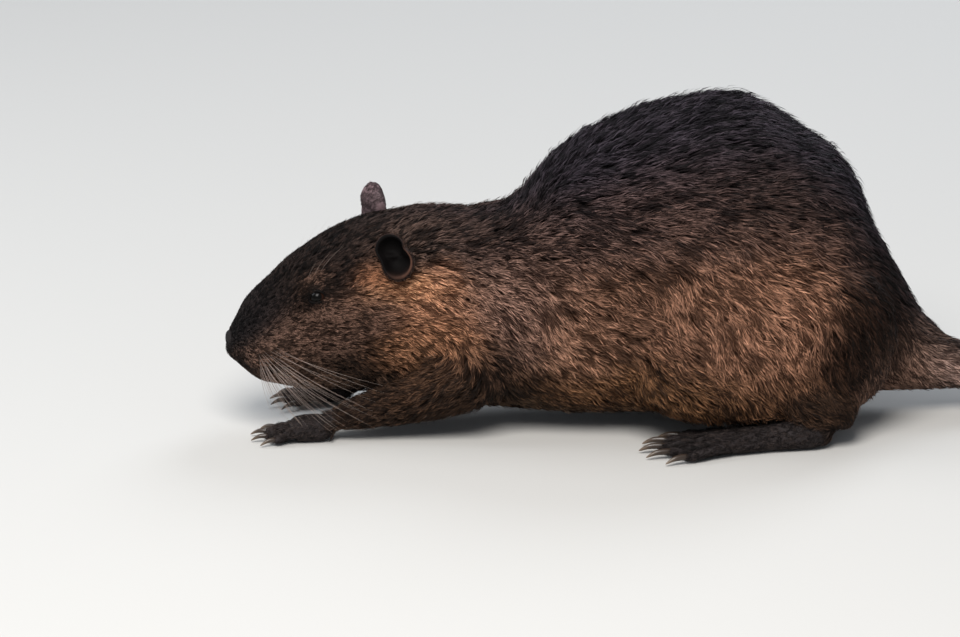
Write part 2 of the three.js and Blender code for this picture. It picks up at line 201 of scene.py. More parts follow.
def under_coat(station, side, turn, depth):
    """The point of the head's outline at a turn up from its side, moved in by depth."""
    centre, girth, right, up, heading = sections(SPINE, np.array([station]), SPINE_LEAN)
    power = 2 / SPINE_SQUARENESS
    out = side * right * girth[:, :1] * math.cos(turn) ** power + up * girth[:, 1:2] * math.sin(turn) ** power
    return (centre + out * (1 - depth / np.linalg.norm(out)))[0], unit(out)[0], heading[0]


def torso_surface(rows=461, columns=120):
    """The whole body from muzzle to tail as one limb, moved in by the coat's depth."""
    place = np.linspace(0, len(SPINE) - 1, rows)
    turn = around(columns)
    at = round_ends(place, len(SPINE) - 1)[0][:, None]
    swell = head_swell(at, turn)
    return limb(SPINE, place, turn, coat_depth(at, turn), SPINE_SQUARENESS, SPINE_LEAN, swell)


torso = torso_surface()

# ---- Legs ----
# Forelegs that reach ahead under the neck, and hind legs that are mostly haunch, with the shank and hock
# hidden in the flank's fur. They are modelled in one with the body.
FORELEG = np.array([
    [-50, 34, 94, 18, 26, 26],
    [-58, 41, 72, 20, 30, 28],
    [-78, 44, 46, 19, 26, 26],  # elbow
    [-116, 42, 29, 14, 18, 18],
    [-152, 41, 20, 10.5, 13, 13],
    [-180, 40, 13, 9, 9, 10],  # wrist
])
HAUNCH = np.array([
    [212, 34, 64, 21, 34, 46],
    [184, 49, 68, 33, 54, 57],
    [142, 56, 68, 37, 70, 62],
    [102, 58, 64, 36, 64, 57],
    [66, 62, 50, 27, 43, 40],
    [38, 66, 38, 14, 18, 20],  # knee
])
HOCK = np.array([
    [126, 64, 44, 16, 18, 20],
    [150, 70, 37, 18, 20, 22],
    [170, 73, 25, 15, 17, 17],
    [181, 74, 14, 11, 11, 12],  # heel
])
# The coat's depth at each station of a leg.
FORELEG_DEPTH = [8, 7, 6, 3.5, 2, 1]
HAUNCH_DEPTH = [8, 9, 9, 9, 7, 5]
HOCK_DEPTH = [5, 4, 2.5, 1.2]
RIGHT_STEP = 16  # how much further back the right forepaw stands
ELBOW = 2  # its station


def on_side(stations, side):
    """Stations given for the right side, on either side."""
    return stations * (1, side, 1, 1, 1, 1)


def foreleg_of(side):
    """The foreleg's stations on one side. Past the elbow, the right one is carried back."""
    stations = FORELEG.astype(float)
    if side == RIGHT:
        past = np.maximum(np.arange(len(FORELEG)) - ELBOW, 0)
        stations[:, 0] += RIGHT_STEP * past / past.max()
    return on_side(stations, side)


def leg_surface(stations, depths, rows=60, columns=48):
    """A leg as a limb whose depth of coat changes evenly between its stations."""
    place = np.linspace(0, len(stations) - 1, rows)
    at = round_ends(place, len(stations) - 1)[0]
    depth = np.interp(at, np.arange(len(depths)), depths)[:, None]
    return limb(stations, place, around(columns), depth)


legs = []
for side in SIDES:
    legs.append(leg_surface(foreleg_of(side), FORELEG_DEPTH))
    legs.append(leg_surface(on_side(HAUNCH, side), HAUNCH_DEPTH))
    legs.append(leg_surface(on_side(HOCK, side), HOCK_DEPTH))

# ---- Feet ----
# Small four-clawed forepaws, and long hind feet whose first four toes share a web. Bare dark skin
# over slim bones, with a pad under each toe. Sizes are from heel to toe tips.
FOREFOOT = {
    "length": 50,
    "turn": -0.1,
    "sole": [[0, 8, 9, 9], [0.22, 9.5, 9, 9], [0.5, 11.5, 8, 8], [0.62, 9, 6, 6]],
    # Toes: spread, share of the length, and where they root across the sole.
    "toes": [(0.42, 0.36, 7.4), (0.14, 0.46, 2.9), (-0.1, 0.48, -2.2), (-0.38, 0.4, -6.8)],
    "radius": 3.3,
    "knuckle": 6.2,
    "pad": 3.1,
    "claw": (9, 1.7),
    "web": None,
}
HINDFOOT = {
    "length": 128,
    "turn": 0.06,
    "sole": [
        [0, 10, 12, 11],
        [0.12, 12, 12.5, 10],
        [0.34, 12.5, 9.5, 7.5],
        [0.58, 17, 6.5, 5.8],
        [0.68, 14, 4.5, 4.5],
    ],
    "toes": [
        (-0.26, 0.32, -11.5),
        (-0.13, 0.4, -6.5),
        (0.0, 0.43, -0.5),
        (0.13, 0.41, 5.5),
        (0.32, 0.34, 11.5),
    ],
    "radius": 4,
    "knuckle": 6.5,
    "pad": 3.6,
    "claw": (12, 2.2),
    # The web joins this many toes, from start to reach of their length, and its edge dips to dip.
    "web": {
        "toes": 4,
        "start": 0.02,
        "reach": 0.86,
        "dip": 0.45,
        "thick": 2.4,
        "height": 3.0,
        "sag": 0.8,
    },
}
TOE_ROOT = 0.52  # where the toes part from the sole
PRESSED = 1  # how far a sole reaches below the floor before it is pressed flat
FOOT_DEPTH = 0.5  # of the coat on the sole's form
TOE_DEPTH = 0.2
SOLE_SQUARENESS = 2.4
FEET = [
    ("left_forefoot", FOREFOOT, LEFT, (-171, 41)),
    ("right_forefoot", FOREFOOT, RIGHT, (-155, 43)),
    ("left_hindfoot", HINDFOOT, LEFT, (168, 74)),
    ("right_hindfoot", HINDFOOT, RIGHT, (168, 74)),
]
# A toe's stations: share of its length, height from pad (0) to knuckle (1), girth in radii.
TOE_STATIONS = np.array([
    [-0.1, 0.6, 0.8, 0.8, 0.8],
    [0.08, 0.95, 0.9, 0.95, 0.95],
    [0.3, 1.1, 1.05, 1.1, 1.0],  # knuckle
    [0.5, 0.75, 0.88, 0.9, 0.95],
    [0.68, 0.5, 1.02, 1.0, 1.0],  # last joint
    [0.84, 0.15, 0.9, 0.85, 0.95],
    [1.0, 0.05, 0.8, 0.75, 0.85],  # tip
])


def foot_point(foot, ahead, out, height):
    """The point so far ahead of the heel, out from the foot's line and above the floor."""
    _, kind, side, heel = foot
    cos, sin = math.cos(kind["turn"]), math.sin(kind["turn"])
    x = heel[0] - ahead * cos + out * sin
    y = side * (heel[1] + ahead * sin + out * cos)
    return np.stack(np.broadcast_arrays(x, y, height), -1)


def toe_point(foot, toe, share, height):
    """The point a share of the way along a toe, at a height."""
    spread, length, root = toe
    reach = share * length * foot[1]["length"]
    ahead = TOE_ROOT * foot[1]["length"] + reach * math.cos(spread)
    return foot_point(foot, ahead, root + reach * math.sin(spread), height)


def sole_surface(foot, rows=60, columns=40):
    """The sole as a limb from heel to ball. What reaches below the floor is pressed flat later."""
    kind = foot[1]
    sole = np.array(kind["sole"], float)
    centres = foot_point(foot, sole[:, 0] * kind["length"], 0, sole[:, 3])
    stations = np.hstack([centres, sole[:, 1:3], sole[:, 3:4] + PRESSED])
    place = np.linspace(0, len(stations) - 1, rows)
    return limb(stations, place, around(columns), FOOT_DEPTH, SOLE_SQUARENESS)


def toe_surface(foot, toe, rows=50, columns=24):
    """One toe as a limb with a knuckle and a rounder last joint."""
    kind = foot[1]
    height = kind["pad"] + TOE_STATIONS[:, 1] * (kind["knuckle"] - kind["pad"])
    centres = toe_point(foot, toe, TOE_STATIONS[:, 0], height)
    stations = np.hstack([centres, TOE_STATIONS[:, 2:] * kind["radius"]])
    return limb(stations, np.linspace(0, len(stations) - 1, rows), around(columns), TOE_DEPTH)


def web_surface(foot, toe, after, rows=24, columns=24):
    """The skin between two toes: across from one to the other, and ahead to an edge at
    reach - (reach - dip) * sin(pi * across). It sags by sag * sin(pi * across) between them, and its
    section is a thin lens."""
    web = foot[1]["web"]
    across = np.linspace(0, 1, rows)[None, :, None]
    edge = web["reach"] - (web["reach"] - web["dip"]) * np.sin(math.pi * across)
    turns = around(columns)
    ahead = web["start"] + (edge - web["start"]) * (0.5 - 0.5 * np.cos(turns))[:, None, None]
    lens = web["thick"] / 2 * np.sin(turns)[:, None, None]
    height = web["height"] - web["sag"] * np.sin(math.pi * across) + lens
    near = toe_point(foot, toe, ahead[..., 0], height[..., 0])
    far = toe_point(foot, after, ahead[..., 0], height[..., 0])
    return np.swapaxes(near * (1 - across) + far * across, 0, 1)


feet = []
for foot in FEET:
    toes = foot[1]["toes"]
    feet.append(sole_surface(foot))
    feet += [toe_surface(foot, toe) for toe in toes]
    if foot[1]["web"]:
        webbed = toes[: foot[1]["web"]["toes"]]
        feet += [web_surface(foot, *pair) for pair in zip(webbed, webbed[1:])]

# ---- Skin ----
# One hide over body, legs and feet. The joined forms are drawn together at one fineness, the places
# where they meet are smoothed as flesh is, and the face gets its folds. Bare on feet, ears and tail.
FINENESS = 1.25  # of the surface that is drawn round the forms
SKIN_FACES = 82000
SMOOTHING = 40  # rounds, in full on the body and less on face, feet and tail
FACE_END = -95  # x, where the face passes into the neck
FOLDS_END = -130  # x, behind which the face has no folds
BARE_TAIL = 240  # x, where the tail's bare part begins
SOLE = 0.2  # height of the soles' skin
CHIN_CREASE = -0.62  # the turn of the mouth's line at the lips
# The ball's radius, the head's station and turn at which it sits, and how far its middle is sunk.
EYE = {"radius": 6.4, "station": 2.9, "turn": 0.54, "sunk": 4.3}
# The pad's middle, its three radii and how far it is tipped up.
NOSE = {"at": np.array([-240.3, -13.2, 65.0]), "deep": 4.4, "wide": 7.8, "tall": 6.6, "tip": 0.4}

eye_places = {side: under_coat(EYE["station"], side, EYE["turn"], EYE["sunk"]) for side in SIDES}
low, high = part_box("left_eye")
SHIFT = np.array((low + high) / 2) - eye_places[LEFT][0] * MM  # from the sculptor's zero to the frame's


def new_mesh(name, points, *face_sets):
    """A mesh of points, moved into the frame, and of faces in sets with a like number of corners."""
    mesh = bpy.data.meshes.new(name)
    corners = np.concatenate([faces.ravel() for faces in face_sets]).astype(np.int32)
    sizes = np.concatenate([np.full(len(faces), faces.shape[1]) for faces in face_sets])
    mesh.vertices.add(len(points))
    mesh.vertices.foreach_set("co", (points * MM + SHIFT).astype(np.float32).ravel())
    mesh.loops.add(len(corners))
    mesh.polygons.add(len(sizes))
    mesh.polygons.foreach_set("loop_start", (np.cumsum(sizes) - sizes).astype(np.int32))
    mesh.polygons.foreach_set("vertices", corners)
    mesh.update(calc_edges=True)
    mesh.shade_smooth()
    return mesh


def new_object(name, mesh):
    """A new piece in the scene."""
    made = bpy.data.objects.new(name, mesh)
    bpy.context.scene.collection.objects.link(made)
    return made


def finished(made):
    """The object's mesh with its modifiers carried out."""
    return bpy.data.meshes.new_from_object(made.evaluated_get(bpy.context.evaluated_depsgraph_get()))


def read(items, name, width, kind=np.float32):
    """One property of all the items, in rows of so many numbers."""
    found = np.empty(len(items) * width, kind)
    items.foreach_get(name, found)
    return found.reshape(-1, width)


def points_of(mesh):
    """A mesh's vertices in the sculptor's millimetres."""
    return (read(mesh.vertices, "co", 3).astype(float) - SHIFT) / MM


def put_points(mesh, points):
    """Moves a mesh's vertices to points in the sculptor's millimetres."""
    mesh.vertices.foreach_set("co", (points * MM + SHIFT).astype(np.float32).ravel())
    mesh.update()


def drawn_together(shapes, fineness):
    """One closed surface round all the shapes, in squares of about fineness."""
    rough = new_object("rough", new_mesh("rough", *joined(shapes)))
    remesh = rough.modifiers.new("one surface", "REMESH")
    remesh.mode = "VOXEL"
    remesh.voxel_size = fineness * MM
    whole = finished(rough)
    bpy.data.objects.remove(rough)
    return whole


def dots(first, second):
    """The product of each row of one with the same row of the other."""
    return np.einsum("ij,ij->i", first, second)


def distances(points, spot):
    """How far each point is from a spot."""
    return np.linalg.norm(points - spot, axis=1)


def body_place(points, steps=1200):
    """For points near the body: the station beside them and the turn round it, from 0 at the left
    or right side to pi / 2 on the back and -pi / 2 under the belly, and the side."""
    fine = np.linspace(0, len(SPINE) - 1, steps)
    centre, _, right, up, heading = sections(SPINE, fine, SPINE_LEAN)
    x = points[:, 0]
    for _ in range(2):  # the sections lean, so the first place found is put right once
        index = np.interp(x, centre[:, 0], np.arange(len(fine))).astype(int)
        off = dots(points - centre[index], heading[index])
        x = centre[index, 0] + off * heading[index, 0]
    away = points - centre[index]
    out = dots(away, right[index])
    rise = dots(away, up[index])
    return fine[index], np.arctan2(rise, np.abs(out)), np.sign(out)


def smoothed(points, edges, rounds, share):
    """Each round moves a point by its share of the way to the mean of its neighbours."""
    count = np.bincount(edges.ravel(), minlength=len(points))[:, None]
    a, b = edges.T
    for _ in range(rounds):
        total = np.stack(
            [
                np.bincount(a, points[b, k], len(points)) + np.bincount(b, points[a, k], len(points))
                for k in range(3)
            ],
            -1,
        )
        points = points + share[:, None] * (total / count - points)
    return points


def bump(distance, width):
    """exp(-(distance / width)^2), a round rise."""
    return np.exp(-((distance / width) ** 2))


def mouth_turn(station):
    """The turn at which the line of the mouth runs at each station."""
    return CHIN_CREASE - 0.08 * (station - 1.0) ** 2


def on_mouth(station, rise, width):
    """1 on the line of the mouth and 0 away from it."""
    return bump(rise - mouth_turn(station), width) * np.clip(2.1 - station, 0, 1) * np.clip(3 * station, 0, 1)


def face_folds(points, station, turn):
    """How far the face's skin stands out: brow over the eye, hollow before it, cheekbone under it,
    the upper lip's pad, the crease of the mouth below it and the snout's end, with the nose's seat."""
    lip = bump(turn - mouth_turn(station) - 0.22, 0.16) * bump(station - 1.0, 0.9)
    crease = on_mouth(station, turn, 0.07)
    brow = bump(station - EYE["station"] + 0.1, 0.34) * bump(turn - EYE["turn"] - 0.22, 0.12)
    hollow = bump(station - EYE["station"] + 0.75, 0.35) * bump(turn - EYE["turn"] + 0.02, 0.2)
    bone = bump(station - EYE["station"] - 0.25, 0.6) * bump(turn - EYE["turn"] + 0.42, 0.18)
    orbit = sum(bump(distances(points, eye_places[side][0]), 9) for side in SIDES)
    from_nose = distances(points, NOSE["at"])
    snout = 3.5 * bump(from_nose, 10) - 5.0 * bump(from_nose, 5)
    return 1.1 * lip - 1.5 * crease + 1.1 * brow - 1.0 * hollow + 0.8 * bone + 0.9 * orbit + snout


def on_feet(points):
    """1 on the feet, falling to 0 off them: 2.4 - 3 * reach / length, where reach is how far a point
    is from the foot's middle, counted 1.6 times across and twice in height."""
    found = np.zeros(len(points))
    for foot in FEET:
        length = foot[1]["length"]
        reach = np.linalg.norm((points - foot_point(foot, length * 0.6, 0, 4)) * (1, 1.6, 2), axis=1)
        found = np.maximum(found, np.clip(2.4 - 3 * reach / length, 0, 1))
    return found


def fleshed(whole, foot_share, face_share):
    """Smooths the joined forms, less on face, feet and tail, and then folds the face."""
    points = points_of(whole)
    tail_share = np.clip((points[:, 0] - BARE_TAIL) / 40, 0, 1)
    share = 0.9 * (1 - 0.93 * foot_share) * (1 - 0.75 * face_share) * (1 - 0.75 * tail_share)
    points = smoothed(points, read(whole.edges, "vertices", 2, np.int32), SMOOTHING, share)
    put_points(whole, points)
    normals = read(whole.vertices, "normal", 3)
    station, turn, _ = body_place(points)
    fold = face_folds(points, station, turn) * np.clip((FOLDS_END - points[:, 0]) / 20, 0, 1)
    points = points + normals * (fold * (1 - foot_share))[:, None]
    points[:, 2] = np.maximum(points[:, 2], SOLE)
    put_points(whole, points)


def with_fewer_faces(whole, fineness):
    """The skin with about SKIN_FACES faces, kept finest where fineness is 1."""
    made = new_object("skin", whole)
    group = made.vertex_groups.new(name="fine")
    steps = np.round(fineness, 1)
    for level in np.unique(steps):
        group.add(np.flatnonzero(steps == level).tolist(), float(level), "REPLACE")
    fewer = made.modifiers.new("fewer faces", "DECIMATE")
    fewer.ratio = SKIN_FACES / len(whole.polygons)
    fewer.vertex_group = "fine"
    fewer.invert_vertex_group = True
    fewer.vertex_group_factor = 4.0
    made.data = finished(made)
    made.modifiers.clear()
    made.vertex_groups.clear()
    return made


whole = drawn_together([torso, *legs, *feet], FINENESS)
foot_share = on_feet(points_of(whole))
face_share = np.clip((FACE_END - points_of(whole)[:, 0]) / 40, 0, 1)
fleshed(whole, foot_share, face_share)
skin = with_fewer_faces(whole, np.clip(np.maximum(foot_share, 0.7 * face_share), 0, 1))

# ---- Ears ----
# Small dishes of thin dark gristle, nearly bare inside. Each has a round upper lobe and a wider
# lower one behind it, with a low ridge between the two hollows. They grow from the hide.
EARS = {LEFT: np.array([-129, -43.5, 133.5]), RIGHT: np.array([-140.5, 31, 147.5])}
# The way each faces, the lean of its top, and its breadth. The right one is pricked up and folded.
EAR_OPENING = {LEFT: (-0.4, -0.86, 0.3), RIGHT: (-0.35, 0.9, 0.2)}
EAR_LEAN = {LEFT: (-0.5, 0, 1), RIGHT: (-0.1, 0.1, 1)}
EAR_BREADTH = {LEFT: 1.0, RIGHT: 0.74}
LOBES = [(-2.8, 6.8, 10.0), (-0.8, -6.2, 10.8)]  # back, up, radius
EAR_EVENING = 24  # rounds that even the rim out
EAR_RIM_AT = 0.55  # the share of an ear's rows that lies before its rim
# From the root behind, over the rim, to the bottom of the hollow: share of the rim's reach, and
# how far out.
EAR_PROFILE = np.array([
    [0.0, -16],
    [0.42, -15],
    [0.74, -10],
    [0.96, -4.4],
    [1.04, -1.4],
    [1.04, 0.3],
    [0.98, 1.2],
    [0.9, 0.7],
    [0.83, -1.4],
    [0.68, -5.4],
    [0.4, -8.4],
    [0.0, -9.2],
])


def ear_axes(side):
    """The way an ear faces, and its backward and upward directions square to that."""
    opening = unit(np.array(EAR_OPENING[side]))
    tall = np.array(EAR_LEAN[side], float)
    tall = unit(tall - opening * (tall @ opening))
    return opening, side * np.cross(opening, tall), tall


def ear_surface(side, rows=44, columns=96):
    """The ear as a dish: rows along the profile, columns round the rim. The rim is how far
    a ray from the middle reaches in either lobe, c.d + sqrt(r^2 - (c x d)^2), the two joined as an
    eighth-power mean and then evened out round the rim. A ridge 2.6 mm high parts the two hollows,
    and the top of the rim curls in by 1.6 mm."""
    opening, back, tall = ear_axes(side)
    turns = around(columns)
    ray = np.stack([np.cos(turns), np.sin(turns)], -1)
    reach = 0
    for along_back, along_up, radius in LOBES:
        beside = along_back * ray[:, 1] - along_up * ray[:, 0]
        ahead = along_back * ray[:, 0] + along_up * ray[:, 1]
        reach = reach + np.maximum(ahead + np.sqrt(np.maximum(radius**2 - beside**2, 0)), 0.1) ** 8
    rim = reach ** (1 / 8)
    for _ in range(EAR_EVENING):
        rim = (np.roll(rim, 1) + 2 * rim + np.roll(rim, -1)) / 4
    share, out = along(EAR_PROFILE, np.linspace(0, len(EAR_PROFILE) - 1, rows)).T
    flat = share[:, None] * rim
    across = flat * ray[:, 0]
    up = flat * ray[:, 1]
    inside = np.linspace(0, 1, len(share)) > 0.5
    ridge = 2.6 * bump(up + 0.2 + 0.25 * across, 2.4) * bump(flat / rim - 0.5, 0.32) * inside[:, None]
    curl = 1.6 * bump(up - 15, 7) * bump(flat / rim - 0.95, 0.2)
    depth = out[:, None] + ridge + 0.02 * (across**2 + up**2) ** 0.5 * flat / rim
    across = across * EAR_BREADTH[side]
    shape = (across[..., None] * back + (up - curl)[..., None] * tall) + depth[..., None] * opening
    return EARS[side] + shape


# ---- Eyes ----
# Glass balls of dark brown with a wide black pupil, set as deep as real ones, each in two lids of
# bare dark skin that leave an almond open.
LID = {
    "inside": 6.7,  # the radii of the lids' two faces
    "outside": 7.5,
    # The almond's reach, as angles from the way the eye looks, and where the lids end.
    "long": 1.12,
    "upper": 0.52,
    "lower": 0.5,
    "hem": 1.45,
    "pointed": 1.7,  # 2 is an ellipse
}
BARE_LID = (8.8, 5.3)  # how far the lids are bare, lengthwise and upwards
BARE_MIDDLE = (-1.8, 0.4)  # the middle of their bare part, back and up from the eye's


def eye_axes(side):
    """An eye's centre, the way it looks, its backward and its upward direction."""
    centre, out, heading = eye_places[side]
    look = unit(out - 0.22 * UP - 0.16 * heading)
    slit = heading * (1, 1, 0) - 0.1 * UP  # the almond's long way, level and a little down at the back
    back = unit(slit - look * (slit @ look))
    up = np.cross(look, back)
    return centre, look, back, up if up[2] > 0 else -up


def round_eye(side, radius, turn, away):
    """Points at a distance radius from the eye's centre, at a turn round the way it looks and an
    angle away from it: centre + radius * (look * cos away + (back * cos turn + up * sin turn) *
    sin away)."""
    centre, look, back, up = eye_axes(side)
    turn, away, radius = np.broadcast_arrays(turn, away, radius)
    out = np.cos(turn)[..., None] * back + np.sin(turn)[..., None] * up
    return centre + radius[..., None] * (
        np.cos(away)[..., None] * look + np.sin(away)[..., None] * out
    )


def lid_surface(side, rows=72, columns=28):
    """Both lids as one closed ring: rows round the eye, columns round the lid's section, from the
    edge of the almond 1 / ((|cos| / long)^p + (|sin| / high)^p)^(1 / p) out to the hem."""
    turn = np.append(around(rows), 0)[:, None]
    section = around(columns)[None, :]
    high = np.where(np.sin(turn) > 0, LID["upper"], LID["lower"])
    p = LID["pointed"]
    edge = ((np.abs(np.cos(turn)) / LID["long"]) ** p + (np.abs(np.sin(turn)) / high) ** p) ** (-1 / p)
    middle = (edge + LID["hem"]) / 2
    half = (LID["hem"] - edge) / 2
    away = middle - half * np.cos(section)
    thick = (LID["outside"] - LID["inside"]) / 2
    outer = np.clip(np.sin(section), 0, 1)
    fold = 0.3 * bump(away - edge - 0.16, 0.1) - 0.25 * bump(away - edge - 0.42, 0.09)
    radius = LID["inside"] + thick + thick * np.sin(section) + outer * fold
    return round_eye(side, radius, turn, away)


def eye_surface(side, rows=64, columns=64):
    """A ball with a cornea: radius + 0.3 * exp(-(away / 0.5)^2), rows from the pupil to the back."""
    away = np.linspace(0, math.pi, rows)[:, None]
    return round_eye(side, EYE["radius"] + 0.3 * bump(away, 0.5), around(columns)[None, :], away)


def paint(mesh, name, values, kind="FLOAT"):
    """Stores one value, or one colour, at each vertex."""
    layer = mesh.attributes.new(name, kind, "POINT")
    values = np.asarray(values, np.float32)
    if kind == "FLOAT":
        layer.data.foreach_set("value", values.ravel())
    else:
        with_alpha = np.hstack([values, np.ones((len(values), 1), np.float32)])
        layer.data.foreach_set("color", with_alpha.ravel())


def linear(*colour):
    """A colour given on a screen's scale, 0 to 255, as the light that it stands for."""
    value = np.array(colour, float) / 255
    return np.where(value <= 0.04045, value / 12.92, ((value + 0.055) / 1.055) ** 2.4)


def shader_of(material):
    """The one shader of a material."""
    return material.node_tree.nodes["Principled BSDF"]


def new_material(name, **constants):
    """A material whose shader has these sockets the same all over."""
    material = bpy.data.materials.new(name)
    material.use_nodes = True
    for socket, value in constants.items():
        shader_of(material).inputs[socket.replace("_", " ")].default_value = value
    return material


def node(material, kind, **settings):
    """A new node with its settings: sockets by name, given with a leading underscore, and others."""
    made = material.node_tree.nodes.new("ShaderNode" + kind)
    for key, value in settings.items():
        if key.startswith("_"):
            made.inputs[key[1:].replace("_", " ")].default_value = value
        else:
            setattr(made, key, value)
    return made


def wire(material, *pairs):
    """Joins outputs to inputs."""
    for start, end in pairs:
        material.node_tree.links.new(start, end)


def stored(material, name, output="Fac"):
    """What paint stored under a name."""
    return node(material, "Attribute", attribute_name=name).outputs[output]


def texture(material, kind, output="Fac", stretch=(1.0, 1.0, 1.0), **settings):
    """A texture laid out in the piece's own coordinates, each times its stretch."""
    place = node(material, "TexCoord")
    stretched = node(material, "Mapping", vector_type="POINT", _Scale=stretch)
    made = node(material, kind, **settings)
    wire(
        material,
        (place.outputs["Object"], stretched.inputs["Vector"]),
        (stretched.outputs["Vector"], made.inputs["Vector"]),
    )
    return made.outputs[output]


def ramp(material, value, *stops):
    """The colour at a value, between stops of (position, colour)."""
    made = node(material, "ValToRGB")
    elements = made.color_ramp.elements
    for element, (position, colour) in zip(elements, (stops[0], stops[-1])):
        element.position = position
        element.color = (*colour, 1)
    for position, colour in stops[1:-1]:
        elements.new(position).color = (*colour, 1)
    wire(material, (value, made.inputs["Fac"]))
    return made.outputs["Color"]


def times(material, colour, value, share=1.0):
    """A colour multiplied by a value, by a share of the full effect."""
    made = node(material, "Mix", data_type="RGBA", blend_type="MULTIPLY", _Factor=share)
    wire(material, (colour, made.inputs[6]), (value, made.inputs[7]))
    return made.outputs[2]


def coloured(material, colour):
    """Feeds a colour into the shader."""
    wire(material, (colour, shader_of(material).inputs["Base Color"]))


def bumpy(material, height, strength, distance):
    """Feeds a height into the shader's normal."""
    raised = node(material, "Bump", _Strength=strength, _Distance=distance)
    wire(
        material,
        (height, raised.inputs["Height"]),
        (raised.outputs["Normal"], shader_of(material).inputs["Normal"]),
    )


def piece_of(name, shapes):
    """A new piece from grids of points, with how far each point's row is from first (0) to last (1)
    stored as ahead."""
    made = new_object(name, new_mesh(name, *joined(shapes)))
    rows, columns = shapes[0].shape[:2]
    paint(made.data, "ahead", np.tile(np.repeat(np.linspace(0, 1, rows), columns), len(shapes)))
    return made


def dress(made, material):
    """Gives a finished piece its material and its slot, and lets it ride on the body."""
    made.data.materials.clear()
    made.data.materials.append(material)
    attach(made, "root")


glass = new_material(
    "eye glass", Roughness=0.26, Specular_IOR_Level=0.12, Coat_Weight=0.04, Coat_Roughness=0.06
)
PUPIL = (0.002, 0.0015, 0.001)
iris = ramp(
    glass,
    stored(glass, "ahead"),
    (0.0, PUPIL),
    (0.2, PUPIL),
    (0.24, linear(44, 24, 14)),
    (0.36, linear(30, 16, 10)),
    (0.42, (0.004, 0.003, 0.002)),
)
flecks = texture(glass, "TexNoise", _Scale=900.0, _Detail=4.0)
coloured(glass, times(glass, iris, flecks, 0.5))
for side, name in ((LEFT, "left_eye"), (RIGHT, "right_eye")):
    eyeball = piece_of(name + "ball", [eye_surface(side)])
    dress(eyeball, glass)
    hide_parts(name)

# ---- Nose ----
# The bare pad at the muzzle's tip, seated in the hide: grained dark skin with a nostril slit on
# either side of a groove.


def nostrils(across, high):
    """How much each place on the pad belongs to a nostril's slit, exp(-(slant / 1.1)^2 -
    (length / 2.2)^2), and to the raised wing round it, a ring 2.3 mm from the slit's middle."""
    slits = 0
    wings = 0
    for side in SIDES:
        beside = side * across - 3.6
        above = high + 0.4
        slant = beside * 0.8 - above * 0.6
        length = beside * 0.6 + above * 0.8
        slits = slits + bump(slant, 1.1) * bump(length, 2.2)
        wings = wings + bump(np.hypot(slant, length * 0.7) - 2.3, 0.8)
    return slits, wings


def nose_surface(rows=80, columns=96):
    """A ball of three radii, rows from its front to its back, and how much of each point is nostril.
    Its depth is less by 3.2 mm at a slit and 0.8 mm at the groove below, and more at the wings."""
    away = np.linspace(0, math.pi, rows)[:, None]
    turn = around(columns)[None, :]
    x = -np.cos(away) * np.ones_like(turn)
    across = np.sin(away) * np.cos(turn) * NOSE["wide"]
    high = np.sin(away) * np.sin(turn) * NOSE["tall"]
    slits, wings = nostrils(across, high)
    groove = bump(across, 0.7) * np.clip(0.4 - high / NOSE["tall"], 0, 1)
    front = np.clip(-2 * x, 0, 1)
    ahead = x * (NOSE["deep"] - (3.2 * slits - 0.5 * wings + 0.8 * groove) * front)
    cos, sin = math.cos(NOSE["tip"]), math.sin(NOSE["tip"])
    tipped = np.stack([ahead * cos - high * sin, across, ahead * sin + high * cos], -1)
    return NOSE["at"] + tipped, slits * front


leather = new_material("nose leather", Roughness=0.62, Specular_IOR_Level=0.16)
clouds = texture(leather, "TexNoise", _Scale=260.0, _Detail=3.0)
# Painted shade: the nostril slits are coloured near black.
nostril_shade = node(leather, "Mix", data_type="RGBA")
nostril_shade.inputs[7].default_value = (0.001, 0.001, 0.001, 1)
tone = ramp(leather, clouds, (0.3, linear(20, 17, 17)), (0.7, linear(38, 33, 33)))
wire(leather, (stored(leather, "nostril"), nostril_shade.inputs[0]), (tone, nostril_shade.inputs[6]))
coloured(leather, nostril_shade.outputs[2])
bumpy(leather, texture(leather, "TexVoronoi", "Distance", _Scale=1500.0), 0.6, 0.0005)
surface, slits = nose_surface()
nose = piece_of("nose_pad", [surface])
paint(nose.data, "nostril", np.clip(1.3 * slits.ravel(), 0, 1))
dress(nose, leather)
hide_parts("nose")

# ---- Claws ----
# Curved horn, ridged along its length, darker at the root and worn pale at the tip. One grows from
# the end of each toe, four to a forefoot and five to a hind foot.
# Stations: share of the toe, then of the claw, height over the pad, girth in radii of the claw.
CLAW_STATIONS = np.array([
    [0.84, 0.0, 0.5, 0.9, 0.9, 0.9],
    [0.94, 0.0, 0.9, 1.0, 1.1, 1.0],
    [1.0, 0.28, 0.8, 0.86, 1.0, 0.85],
    [1.0, 0.6, -0.1, 0.6, 0.72, 0.6],
    [1.0, 0.86, -1.3, 0.34, 0.4, 0.36],
    [1.0, 1.0, -2.1, 0.16, 0.18, 0.16],
])
CLAW_SQUARENESS = 1.8


def claw_surface(foot, toe, rows=40, columns=20):
    """One claw as a limb along its stations, with its end drawn in."""
    length, radius = foot[1]["claw"]
    share = length / (toe[1] * foot[1]["length"])
    at = CLAW_STATIONS[:, 0] + CLAW_STATIONS[:, 1] * share
    centres = toe_point(foot, toe, at, foot[1]["pad"] + CLAW_STATIONS[:, 2])
    stations = np.hstack([centres, CLAW_STATIONS[:, 3:] * radius])
    place = np.linspace(0, len(stations) - 1, rows)
    return limb(stations, place, around(columns), depth=0.0, squareness=CLAW_SQUARENESS)


